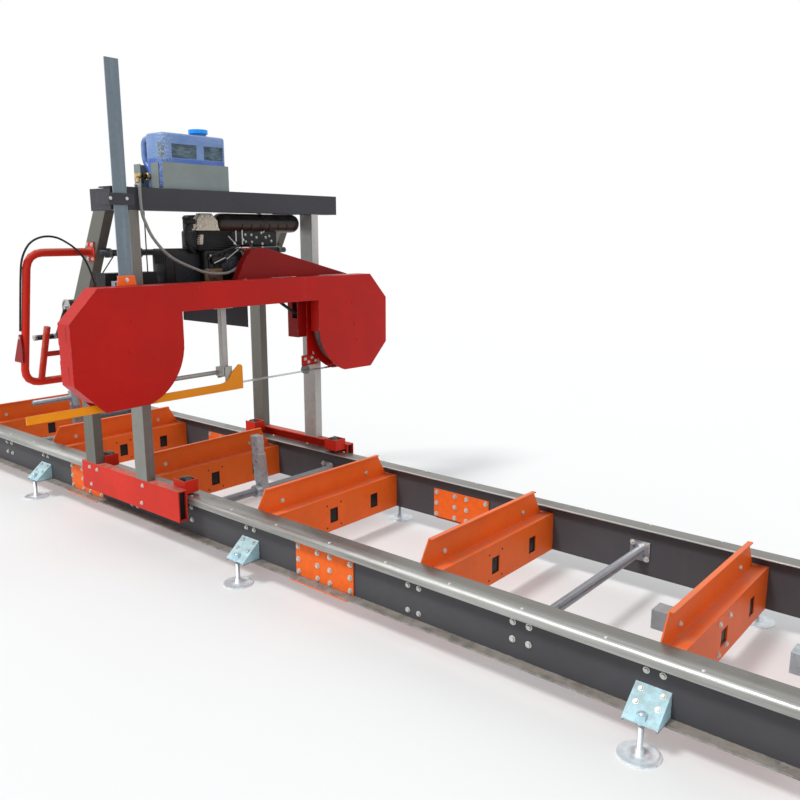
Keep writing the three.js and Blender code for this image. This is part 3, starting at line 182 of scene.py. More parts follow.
def turned(profile, sides, centre=(0.0, 0.0, 0.0), axis="z"):
    """Surface of revolution: radius and height of the profile go to
    (r cos a, r sin a, h) for angles a once round, then the height turns onto the axis."""
    profile = np.asarray(profile, float)
    angle = np.linspace(0.0, FULL_TURN, sides, endpoint=False)
    r, h = profile[:, 0][:, None], profile[:, 1][:, None]
    rings = np.stack([r * np.cos(angle), r * np.sin(angle), h + 0 * angle], -1)
    order = {"x": [2, 0, 1], "y": [1, 2, 0], "z": [0, 1, 2]}[axis]
    rings = rings[..., order] + np.asarray(centre, float)
    return skin(rings)


def hexagon(radius, heights, chamfer):
    """Rings of a hexagon head: the radius at angle a is R cos 30 / cos(a mod 60 - 30),
    so corners and flats alternate; the last ring is drawn in by the chamfer."""
    angle = np.arange(12) * FULL_TURN / 12
    swing = np.mod(angle, FULL_TURN / 6) - FULL_TURN / 12
    edge = radius * math.cos(FULL_TURN / 12) / np.cos(swing)
    edges = [edge, edge, np.minimum(edge, radius * (1 - chamfer))]
    levels = [heights[0], heights[1] - radius * chamfer, heights[1]]
    return [np.stack([e * np.cos(angle), e * np.sin(angle), h + 0 * angle], -1)
            for e, h in zip(edges, levels)]


def bolt_shape(sizes, scale=1.0, stud=0.0):
    """A washer, a hexagon head on it and, above a nut, a short stud: one stack of rings of 12 points."""
    angle = np.arange(12) * FULL_TURN / 12
    circle = np.stack([np.cos(angle), np.sin(angle), 0 * angle], -1)
    up = np.array([0.0, 0.0, 1.0])
    washer = sizes.bolt_height * 0.25
    low, high = -0.001, sizes.bolt_height
    rings = [circle * sizes.washer_radius + up * level for level in (low, washer)]
    rings += hexagon(sizes.bolt_radius, (washer, high), 0.12)
    if stud:
        rings += [circle * sizes.bolt_radius * 0.5 + up * level for level in (high, high + stud)]
    return skin(np.array(rings) * scale)


def dome_shape(radius, height):
    """A rivet head: radius cos t and height sin t for t from 0 to nearly 90 degrees, on a short shank."""
    t = np.linspace(0.0, 1.4, 5)
    profile = np.stack([radius * np.cos(t), height * np.sin(t)], -1)
    profile = np.vstack([[radius, -height / 2], profile])
    return turned(profile, 12)


def repeated(shape, places, normal):
    """Copies of a shape at each place, with its height along the normal: the three axes of each copy
    are two directions square to the normal and the normal itself."""
    vertices, faces = shape
    normal = Vector(normal).normalized()
    turn = np.array(normal.to_track_quat("Z", "Y").to_matrix())
    turned_points = vertices @ turn.T
    places = np.asarray(places, float).reshape(-1, 3)
    points = (places[:, None, :] + turned_points[None]).reshape(-1, 3)
    step = len(vertices)
    every = [[v + step * i for v in face] for i in range(len(places)) for face in faces]
    return points, every


def box_shape(low, high, radius=0.002, sides=3):
    """A box with rounded edges: each point of a fine sphere is pushed out to the corner that its
    direction points at, so centre + sign(n) (half - r) + r n."""
    low, high = np.minimum(low, high), np.maximum(low, high)
    half, centre = (high - low) / 2, (high + low) / 2
    radius = min(radius, *(half * 0.98))
    quarter = np.linspace(0.0, math.pi / 2, sides)
    around = np.concatenate([quarter + i * math.pi / 2 for i in range(4)])
    rise = np.concatenate([quarter - math.pi / 2, quarter])
    corner_x = np.repeat([1.0, -1.0, -1.0, 1.0], sides)
    corner_y = np.repeat([1.0, 1.0, -1.0, -1.0], sides)
    corner_z = np.repeat([-1.0, 1.0], sides)
    t, a = rise[:, None], around[None, :]
    normal = np.stack([np.cos(t) * np.cos(a), np.cos(t) * np.sin(a), np.sin(t) + 0 * a], -1)
    corner = np.stack([corner_x[None, :] + 0 * t, corner_y[None, :] + 0 * t, corner_z[:, None] + 0 * a], -1)
    rings = centre + corner * (half - radius) + radius * normal
    return skin(rings)


def block(low, high, radius=0.002, sides=3):
    """A box with rounded edges between two corners, each as x along, s across and z up."""
    return box_shape(spot(*low), spot(*high), radius, sides)


def prism(outline, start, end):
    """An outline carried straight along x, with flat ends; its points are s across and z up."""
    return skin(np.array([[spot(x, s, z) for s, z in outline] for x in (start, end)]))


def smooth_route(points):
    """A Catmull-Rom line through the points: each stretch is the cubic
    0.5 (2b + (c - a) t + (2a - 5b + 4c - d) t^2 + (3b - a - 3c + d) t^3)."""
    step = 0.008
    p = np.asarray(points, float)
    p = np.vstack([2 * p[0] - p[1], p, 2 * p[-1] - p[-2]])
    a, b, c, d = (p[i : len(p) - 3 + i][:, None, :] for i in range(4))
    count = max(2, int(np.linalg.norm(b - c, axis=-1).max() / step))
    t = np.linspace(0, 1, count, endpoint=False)[None, :, None]
    line = 0.5 * (2 * b + (c - a) * t + (2 * a - 5 * b + 4 * c - d) * t**2 + (3 * b - a - 3 * c + d) * t**3)
    return np.vstack([line.reshape(-1, 3), p[-2]])


def tube_shape(line, radius, sides):
    """A round tube along a line: at each point the circle r (cos a) u + r (sin a) v, where u and v are
    square to the line's direction and u is square to x too."""
    line = np.asarray(line, float)
    along = np.gradient(line, axis=0)
    along /= np.linalg.norm(along, axis=1)[:, None]
    u = np.cross(along, (1.0, 0.0, 0.0))
    u /= np.linalg.norm(u, axis=1)[:, None]
    v = np.cross(along, u)
    angle = np.linspace(0, FULL_TURN, sides, endpoint=False)
    rings = line[:, None] + radius * (
        np.cos(angle)[None, :, None] * u[:, None] + np.sin(angle)[None, :, None] * v[:, None]
    )
    return skin(rings)


def bent(points, bend):
    """Straight stretches with rounded corners, through points of x along, s across and z up: each corner
    is the curve (1 - t)^2 in + 2 t (1 - t) corner + t^2 out, a bend's length either side of it."""
    steps = 8
    p = np.array([spot(*point) for point in points])
    into = p[:-2] - p[1:-1]
    out = p[2:] - p[1:-1]
    into = p[1:-1] + bend * into / np.linalg.norm(into, axis=1)[:, None]
    out = p[1:-1] + bend * out / np.linalg.norm(out, axis=1)[:, None]
    t = np.linspace(0, 1, steps)[None, :, None]
    curve = (1 - t) ** 2 * into[:, None] + 2 * t * (1 - t) * p[1:-1][:, None] + t**2 * out[:, None]
    return np.vstack([p[:1], curve.reshape(-1, 3), p[-1:]])


def on_side(shape, places, s, way):
    """Copies of a shape on an upright face along the track, s from its centre line: the places are
    (x, z), and way is -1 or 1, the sign of y that the copies point to."""
    return repeated(shape, [spot(x, s, z) for x, z in places], (0, way, 0))


def on_front(shape, places, x, way=1):
    """Copies of a shape on an upright face across the track at x: the places are (s, z), and way is the
    sign of x that the copies point to."""
    return repeated(shape, [spot(x, s, z) for s, z in places], (way, 0, 0))


def put_in_scene(name, mesh, look, smooth_angle, merge=True):
    """Turns a mesh's faces outward, shades it smooth up to an angle, gives it its finish, and makes it
    an object."""
    work = bmesh.new()
    work.from_mesh(mesh)
    if merge:
        bmesh.ops.remove_doubles(work, verts=work.verts, dist=1e-6)
    bmesh.ops.recalc_face_normals(work, faces=work.faces)
    work.to_mesh(mesh)
    work.free()
    mesh.shade_smooth()
    mesh.set_sharp_from_angle(angle=math.radians(smooth_angle))
    mesh.materials.clear()
    mesh.materials.append(finish(look))
    piece = bpy.data.objects.new(name, mesh)
    bpy.context.scene.collection.objects.link(piece)
    return piece


def make_piece(name, shapes, look, body, smooth_angle=35.0):
    """Joins shapes into one mesh object with outward faces, smooth up to an angle, riding on a body."""
    points, faces, start = [], [], 0
    for vertices, some_faces in shapes:
        points.append(np.asarray(vertices, float))
        faces += [[v + start for v in face] for face in some_faces]
        start += len(vertices)
    mesh = bpy.data.meshes.new(name)
    mesh.from_pydata(np.vstack(points).tolist(), [], faces)
    piece = put_in_scene(name, mesh, look, smooth_angle)
    if body:
        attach(piece, body)
    return piece


def bolted(name, shapes, body):
    """Bolts, nuts or rivets of one body, joined into one piece."""
    return make_piece(name, shapes, "bolt", body)


def bevelled(piece, width, segments):
    """Rounds a piece's sharp edges with a live modifier."""
    bevel = piece.modifiers.new("edges", "BEVEL")
    bevel.width, bevel.segments, bevel.limit_method = width, segments, "ANGLE"


def finish_nodes(look, *nodes):
    """Gives solids of the frame their finish."""
    for node in nodes:
        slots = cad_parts[node].data.materials
        slots.clear()
        slots.append(finish(look))


def smoothed(node, look, body, smooth_angle=32.0):
    """A merged copy of a round solid with smooth shading, which stands for it."""
    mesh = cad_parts[node].data.copy()
    mesh.name = node + "_turned"
    piece = put_in_scene(mesh.name, mesh, look, smooth_angle)
    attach(piece, body)
    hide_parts(node)
    return piece


# Finishes


class Finish:
    """A node material under construction: a Principled shader and helpers that return sockets."""

    def __init__(self, name):
        self.material = bpy.data.materials.new(name)
        self.material.use_nodes = True
        self.nodes = self.material.node_tree.nodes
        self.links = self.material.node_tree.links
        self.nodes.clear()
        self.shader = self.add("ShaderNodeBsdfPrincipled")
        output = self.add("ShaderNodeOutputMaterial")
        self.links.new(self.shader.outputs[0], output.inputs["Surface"])
        self.place = self.add("ShaderNodeTexCoord").outputs["Object"]
        self.normal = self.add("ShaderNodeNewGeometry").outputs["Normal"]

    def add(self, kind, **settings):
        node = self.nodes.new(kind)
        for key, value in settings.items():
            setattr(node, key, value)
        return node

    def put(self, socket, value):
        if isinstance(value, bpy.types.NodeSocket):
            self.links.new(value, socket)
        elif isinstance(value, (tuple, list)) and len(value) == 3 and socket.type == "RGBA":
            socket.default_value = (*value, 1.0)
        else:
            socket.default_value = value

    def set(self, **values):
        for key, value in values.items():
            self.put(self.shader.inputs[key.replace("_", " ")], value)

    def stretched(self, factors, source=None):
        """Coordinates multiplied by a factor on each axis."""
        node = self.add("ShaderNodeMapping")
        self.put(node.inputs["Vector"], source or self.place)
        node.inputs["Scale"].default_value = factors
        return node.outputs[0]

    def noise(self, scale, detail=3.0, roughness=0.55, source=None):
        node = self.add("ShaderNodeTexNoise")
        self.put(node.inputs["Vector"], source or self.place)
        node.inputs["Scale"].default_value = scale
        node.inputs["Detail"].default_value = detail
        node.inputs["Roughness"].default_value = roughness
        return node.outputs[0]

    def span(self, value, low, high, start=0.0, end=1.0):
        """value from low to high becomes start to end, smoothly, and stays inside."""
        node = self.add("ShaderNodeMapRange", interpolation_type="SMOOTHSTEP")
        for socket, v in zip(node.inputs, (value, low, high, start, end)):
            self.put(socket, v)
        return node.outputs[0]

    def calc(self, operation, *values):
        node = self.add("ShaderNodeMath", operation=operation)
        for socket, value in zip(node.inputs, values):
            self.put(socket, value)
        return node.outputs[0]

    def times(self, a, b):
        return self.calc("MULTIPLY", a, b)

    def plus(self, a, b):
        return self.calc("ADD", a, b)

    def largest(self, first, *others):
        for other in others:
            first = self.calc("MAXIMUM", first, other)
        return first

    def zoned(self, value, low, high):
        """1 where a value lies between two limits, else 0."""
        return self.times(self.calc("GREATER_THAN", value, low), self.calc("LESS_THAN", value, high))

    def zone(self, *limits):
        """1 where each value lies between its two limits, else 0."""
        mask = self.zoned(*limits[0])
        for limit in limits[1:]:
            mask = self.times(mask, self.zoned(*limit))
        return mask

    def coordinates(self):
        """x, distance from the track's centre line, and z of a point, and y as it is."""
        x, y, z = (self.axis(self.place, i) for i in range(3))
        return x, self.calc("ABSOLUTE", self.calc("SUBTRACT", y, CENTRE_Y)), z, y

    def mix(self, share, a, b):
        node = self.add("ShaderNodeMix", data_type="RGBA")
        self.put(node.inputs[0], share)
        self.put(node.inputs[6], a)
        self.put(node.inputs[7], b)
        return node.outputs[2]

    def axis(self, source, index):
        node = self.add("ShaderNodeSeparateXYZ")
        self.put(node.inputs[0], source)
        return node.outputs[index]

    def edges(self, radius):
        """1 along convex edges, where a bevelled normal leaves the true one."""
        bevel = self.add("ShaderNodeBevel", samples=4)
        bevel.inputs["Radius"].default_value = radius
        dot = self.add("ShaderNodeVectorMath", operation="DOT_PRODUCT")
        self.put(dot.inputs[0], bevel.outputs[0])
        self.put(dot.inputs[1], self.normal)
        return self.span(dot.outputs["Value"], 0.985, 0.88), bevel.outputs[0]

    def bump(self, height, strength, distance, normal=None):
        node = self.add("ShaderNodeBump")
        node.inputs["Strength"].default_value = strength
        node.inputs["Distance"].default_value = distance
        self.put(node.inputs["Height"], height)
        if normal is not None:
            self.put(node.inputs["Normal"], normal)
        return node.outputs[0]


def shaded(colour, factor):
    """A colour made darker or lighter by a factor."""
    return tuple(min(1.0, c * factor) for c in colour)


def painted(name, colour, dust, wear, roughness, dusty, mud=None, areas=None):
    """Powder-coated steel: orange-peel bump, faded patches, dust on upper faces, scuffed edges,
    fine scratches and, low down, mud splashes. areas is a function that gives masks and their colours."""
    metal, fade = (0.28, 0.27, 0.26), 0.09
    m = Finish(name)
    patches = m.noise(2.3, 4.0, 0.6)
    fine = m.noise(38.0, 5.0, 0.65)
    base = m.mix(m.span(patches, 0.35, 0.7), shaded(colour, 1 - fade), shaded(colour, 1 + fade))
    base = m.mix(m.span(fine, 0.45, 0.8, 0.0, 0.3), base, shaded(colour, 0.78))
    for mask, tone in areas(m) if areas else ():
        base = m.mix(mask, base, m.mix(m.span(fine, 0.35, 0.75), tone, shaded(tone, 0.85)))
    up = m.axis(m.normal, 2)
    lying = m.times(m.span(up, 0.25, 0.95), m.span(fine, 0.3, 0.62))
    streak = m.noise(9.0, 6.0, 0.7, m.stretched((1.0, 1.0, 0.15)))
    clinging = m.span(streak, 0.55, 0.85, 0.0, 0.14)
    dust_share = m.times(m.largest(lying, clinging), dusty)
    base = m.mix(dust_share, base, dust)
    if mud:
        height = m.axis(m.place, 2)
        ragged = m.plus(height, m.times(m.noise(14.0, 6.0, 0.7), 0.1))
        low = m.span(ragged, mud, mud - 0.09, 0.0, 0.75)
        base = m.mix(low, base, shaded(dust, 0.7))
    edge, rounded = m.edges(wear)
    worn = m.times(edge, m.span(m.noise(55.0, 4.0, 0.7), 0.46, 0.62))
    base = m.mix(worn, base, metal)
    scratch = m.noise(30.0, 2.0, 0.5, m.stretched((1.0, 9.0, 9.0)))
    gloss = m.plus(roughness, m.times(dust_share, 0.4))
    gloss = m.plus(gloss, m.span(scratch, 0.55, 0.75, 0.0, 0.12))
    peel = m.noise(420.0, 2.0, 0.5)
    m.set(Base_Color=base, Roughness=gloss, Metallic=m.times(worn, 0.7), Specular_IOR_Level=0.2)
    m.set(Normal=m.bump(peel, 0.12, 0.0006, rounded))
    return m.material


def galvanised(name, tone, wear, roughness=0.42, spangle=70.0, dusty=0.25, shade=None, areas=None):
    """Hot-dip zinc: faint crystal spangle from Voronoi cells, grey runs, dull patches, dust on top, and
    upright streaks lightened as a painted highlight. shade is a tone painted on the faces along +X for how
    the light falls there, mostly a darker, browner painted shade."""
    dust = (0.3, 0.25, 0.2)
    m = Finish(name)
    cells = m.add("ShaderNodeTexVoronoi")
    m.put(cells.inputs["Vector"], m.place)
    cells.inputs["Scale"].default_value = spangle
    grey = m.axis(cells.outputs["Color"], 0)
    fine = m.noise(90.0, 4.0, 0.6)
    base = m.mix(grey, shaded(tone, 0.93), shaded(tone, 1.08))
    if shade:
        # Painted light and shade: the faces along +X take the shade tone.
        ahead = m.span(m.axis(m.normal, 0), 0.4, 0.8)
        base = m.mix(ahead, base, m.mix(grey, shaded(shade, 0.94), shaded(shade, 1.06)))
    runs = m.noise(5.0, 5.0, 0.6, m.stretched((3.0, 3.0, 0.4)))
    base = m.mix(m.span(runs, 0.5, 0.8, 0.0, 0.35), base, shaded(tone, 0.72))
    # Painted highlight: upright streaks that lighten the zinc.
    painted_sheen = m.noise(6.0, 5.0, 0.65, m.stretched((4.0, 4.0, 0.25)))
    base = m.mix(m.span(painted_sheen, 0.52, 0.75, 0.0, 0.4), base, shaded(tone, 1.55))
    for mask, colour in areas(m) if areas else ():
        base = m.mix(mask, base, colour)
    up = m.axis(m.normal, 2)
    lying = m.times(m.span(up, 0.3, 0.9, 0.0, dusty), m.span(fine, 0.3, 0.6))
    base = m.mix(lying, base, dust)
    gloss = m.plus(m.span(grey, 0.0, 1.0, roughness - 0.05, roughness + 0.07), lying)
    edge, rounded = m.edges(wear)
    base = m.mix(m.times(edge, 0.5), base, shaded(tone, 1.7))
    m.set(Base_Color=base, Roughness=gloss, Metallic=0.5)
    m.set(Normal=m.bump(m.plus(fine, grey), 0.1, 0.0004, rounded))
    return m.material


def bare_steel(name, tone, grain=(2.0, 90.0, 90.0), roughness=0.32, rust=0.25, metallic=0.9, sheen_tone=None):
    """Rolled or brushed steel: fine grain along one axis, dull blotches and a little rust. The last tone,
    when
    given, is a painted highlight: it lightens in streaks the bent shoulder between a flat top and an
    upright side, the far cap's inner edge and a band on the near cap's top."""
    m = Finish(name)
    lines = m.noise(12.0, 4.0, 0.6, m.stretched(grain))
    blotch = m.noise(7.0, 5.0, 0.65)
    base = m.mix(lines, shaded(tone, 0.75), shaded(tone, 1.2))
    base = m.mix(m.span(blotch, 0.55, 0.8, 0.0, rust), base, (0.16, 0.075, 0.035))
    if sheen_tone:
        # Painted highlight on the shoulder, the far cap's inner edge and a band on the near cap's top.
        up = m.axis(m.normal, 2)
        shoulder = m.times(m.span(up, 0.998, 0.9), m.span(up, 0.05, 0.5))
        streaks = m.span(m.noise(1.6, 5.0, 0.7, m.stretched((1.0, 20.0, 20.0))), 0.35, 0.65, 0.35, 1.0)
        _, away, _, y = m.coordinates()
        near = m.calc("LESS_THAN", y, CENTRE_Y)
        near_top_sheen = m.times(m.span(away, *SHEEN_BAND, 0.0, 0.55), near)
        inner = m.times(m.calc("LESS_THAN", away, SHEEN_EDGE), m.calc("SUBTRACT", 1.0, near))
        painted_sheen = m.largest(shoulder, inner, near_top_sheen)
        base = m.mix(m.times(painted_sheen, streaks), base, sheen_tone)
    edge, rounded = m.edges(0.001)
    base = m.mix(m.times(edge, 0.5), base, shaded(tone, 1.6))
    m.set(Base_Color=base, Metallic=metallic)
    gloss = m.span(lines, 0.2, 0.8, roughness - 0.06, roughness + 0.1)
    m.set(Roughness=m.plus(gloss, m.span(blotch, 0.5, 0.8, 0.0, 0.2)))
    m.set(Normal=m.bump(lines, 0.1, 0.0004, rounded))
    return m.material


def moulded(name, colour, roughness=0.5, grain=500.0, dusty=0.15, under=None):
    """Moulded plastic or rubber: fine grain, scuffs that pale the surface, and dust on top. under is the
    tone of the faces that look down, browned by heat."""
    dust = (0.3, 0.25, 0.2)
    m = Finish(name)
    fine = m.noise(grain, 2.0, 0.5)
    scuff = m.noise(22.0, 6.0, 0.7)
    pale = tuple(min(1.0, c * 1.5 + 0.008) for c in colour)
    base = m.mix(m.span(scuff, 0.55, 0.8, 0.0, 0.3), colour, pale)
    up = m.axis(m.normal, 2)
    if under:
        browned = m.mix(m.span(scuff, 0.4, 0.7), under, shaded(under, 0.6))
        base = m.mix(m.span(up, 0.1, -0.25), base, browned)
    lying = m.times(m.span(up, 0.3, 0.9, 0.0, dusty), m.span(scuff, 0.3, 0.6))
    base = m.mix(lying, base, dust)
    _, rounded = m.edges(0.0015)
    gloss = m.span(scuff, 0.4, 0.7, roughness - 0.07, roughness + 0.1)
    m.set(Base_Color=base, Roughness=m.plus(gloss, lying), Specular_IOR_Level=0.35)
    m.set(Normal=m.bump(fine, 0.1, 0.0005, rounded))
    return m.material


def tank_plastic(name, colour):
    """Blow-moulded polyethylene: milky, deep blue where water stands behind it, greenish in the two
    recesses, paler on top as a painted highlight, and lightened in specks near the front corner as a
    painted highlight."""
    m = Finish(name)
    x, _, height, y = m.coordinates()
    deep = m.span(height, TANK_WATER + 0.004, TANK_WATER - 0.004)
    cloud = m.noise(11.0, 4.0, 0.6)
    base = m.mix(m.span(cloud, 0.35, 0.7), shaded(colour, 0.9), tuple(c * 0.85 + 0.07 for c in colour))
    # Painted highlight: faces that look up are made paler.
    up = m.span(m.axis(m.normal, 2), 0.3, 0.9)
    base = m.mix(m.times(up, 0.5), base, tuple(c * 0.7 + 0.16 for c in colour))
    base = m.mix(deep, base, (colour[0] * 0.35, colour[1] * 0.5, colour[2] * 0.8))
    hollow = m.zone((x, TANK_FRONT - 0.03, TANK_FRONT - 0.004), (height, TANK_WATER, TANK_RECESS_TOP))
    ripple = m.span(m.noise(30.0, 3.0, 0.5, m.stretched((1.0, 1.0, 4.0))), 0.35, 0.65)
    hollow_tone = m.mix(ripple, (0.05, 0.085, 0.1), (0.13, 0.2, 0.22))
    base = m.mix(m.times(hollow, 0.9), base, hollow_tone)
    # Painted highlight: white specks near the front corner.
    away_x = m.calc("SUBTRACT", x, TANK_FRONT - 0.012)
    away_y = m.calc("SUBTRACT", y, across(TANK_CORNER))
    away = m.calc("SQRT", m.plus(m.times(away_x, away_x), m.times(away_y, away_y)))
    corner_glint = m.times(m.span(away, 0.05, 0.008), m.span(m.noise(330.0, 2.0), 0.5, 0.6))
    base = m.mix(m.times(corner_glint, 0.55), base, (0.7, 0.78, 0.85))
    marks = m.noise(6.0, 3.0, 0.5, m.stretched((1.0, 1.0, 14.0)))
    edge, rounded = m.edges(0.004)
    base = m.mix(m.times(edge, 0.3), base, tuple(c * 0.6 + 0.35 for c in colour))
    m.set(Base_Color=base, Roughness=m.span(marks, 0.3, 0.7, 0.22, 0.36))
    m.shader.inputs["Subsurface Weight"].default_value = 0.2
    m.shader.inputs["Subsurface Radius"].default_value = (0.01, 0.02, 0.04)
    m.set(Normal=m.bump(m.plus(marks, cloud), 0.2, 0.0012, rounded))
    return m.material


def braided(name, colour, pale):
    """A braided hose: two sets of strands that wind opposite ways, from the piece's own UV map."""
    m = Finish(name)
    uv = m.add("ShaderNodeTexCoord").outputs["UV"]
    heights = []
    for lean in (1.0, -1.0):
        u, v = m.axis(uv, 0), m.axis(uv, 1)
        phase = m.plus(m.times(u, 150.0 * lean), m.times(v, 8.0))
        heights.append(m.calc("ABSOLUTE", m.calc("SINE", m.times(phase, math.pi))))
    strands = m.times(heights[0], heights[1])
    base = m.mix(m.span(strands, 0.1, 0.7), shaded(colour, 0.45), pale)
    m.set(Base_Color=base, Roughness=0.6)
    m.set(Normal=m.bump(strands, 0.6, 0.0008))
    return m.material


def cast_metal(name, tone, roughness=0.55, metallic=0.6):
    """Cast alloy or iron: a pebbled skin, dark in its hollows, with edges worn lighter."""
    m = Finish(name)
    pebble = m.noise(160.0, 5.0, 0.65)
    grime = m.noise(16.0, 6.0, 0.7)
    base = m.mix(m.span(pebble, 0.35, 0.65), shaded(tone, 0.75), shaded(tone, 1.15))
    base = m.mix(m.span(grime, 0.5, 0.75, 0.0, 0.55), base, shaded(tone, 0.35))
    edge, rounded = m.edges(0.0015)
    base = m.mix(m.times(edge, 0.5), base, shaded(tone, 1.5))
    gloss = m.span(grime, 0.3, 0.7, roughness - 0.08, roughness + 0.15)
    m.set(Base_Color=base, Roughness=gloss, Metallic=metallic)
    m.set(Normal=m.bump(pebble, 0.35, 0.0009, rounded))
    return m.material


def rail_areas(zinc, orange, rust):
    """Masks on the rails: zinc foot brackets, orange splice plates and the dusty foot flange."""
    outside, inside, beyond = 0.4003, 0.3885, 0.5
    flange_top, upright_foot, bracket_top, plate_top = 0.0895, 0.0897, 0.17, 0.213
    bracket_half, plate_half = 0.0495, 0.14
    outer_plate, inner_plate = 0.4065, 0.3948

    def masks(m):
        x, away, z, _ = m.coordinates()
        half = SECTION / 2
        from_foot = m.calc("ABSOLUTE", m.calc("WRAP", m.calc("SUBTRACT", x, FOOT_OFFSET), half, -half))
        from_seam = m.calc("ABSOLUTE", m.calc("WRAP", m.calc("SUBTRACT", x, half), half, -half))
        flange = m.zone((z, 0.0, flange_top), (away, outside, beyond))
        bracket = m.zone((from_foot, -1.0, bracket_half), (away, outside, beyond),
                         (z, upright_foot, bracket_top))
        outer, inner = (
            m.zone((from_seam, -1.0, plate_half), faces, (z, upright_foot, plate_top))
            for faces in ((away, outside, outer_plate), (away, inside, inner_plate))
        )
        crossmember = m.calc("LESS_THAN", away, inside)
        return (
            (m.times(flange, m.span(m.noise(20.0, 5.0, 0.7), 0.35, 0.6, 0.35, 0.9)), rust),
            (bracket, zinc),
            (m.largest(outer, inner, crossmember), orange),
        )

    return masks


def receiver_areas(zinc):
    """Mask on the bunks: the square receiver tube behind the last one is bare zinc."""

    def masks(m):
        x, _, z, y = m.coordinates()
        low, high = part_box("bunk_6")
        centre_s, centre_z, half = RECEIVER
        tube = m.zone((x, low.x - 0.001, high.x - 0.0405),
                      (y, across(centre_s - half), across(centre_s + half)),
                      (z, centre_z - half, centre_z + half))
        return ((tube, zinc),)

    return masks


def head_areas(black, steel):
    """Masks on the head frame: what lies behind the front posts is black, the guide's roller bare."""
    roller_top, first, last = 0.6675, 0.32, 0.37

    def masks(m):
        x, _, z, y = m.coordinates()
        roller = m.zone((z, 0.0, roller_top), (y, across(first), across(last)))
        return (m.calc("LESS_THAN", x, BEAM_FRONT - 0.0005), black), (roller, steel)

    return masks


def mast_areas(orange):
    """Mask on the mast: its foot plate is orange."""

    def masks(m):
        x, _, z, _ = m.coordinates()
        return ((m.zone((x, MAST_FRONT + 0.0004, 0.0), (z, 0.0, MAST_FOOT_TOP)), orange),)

    return masks


finishes = {}


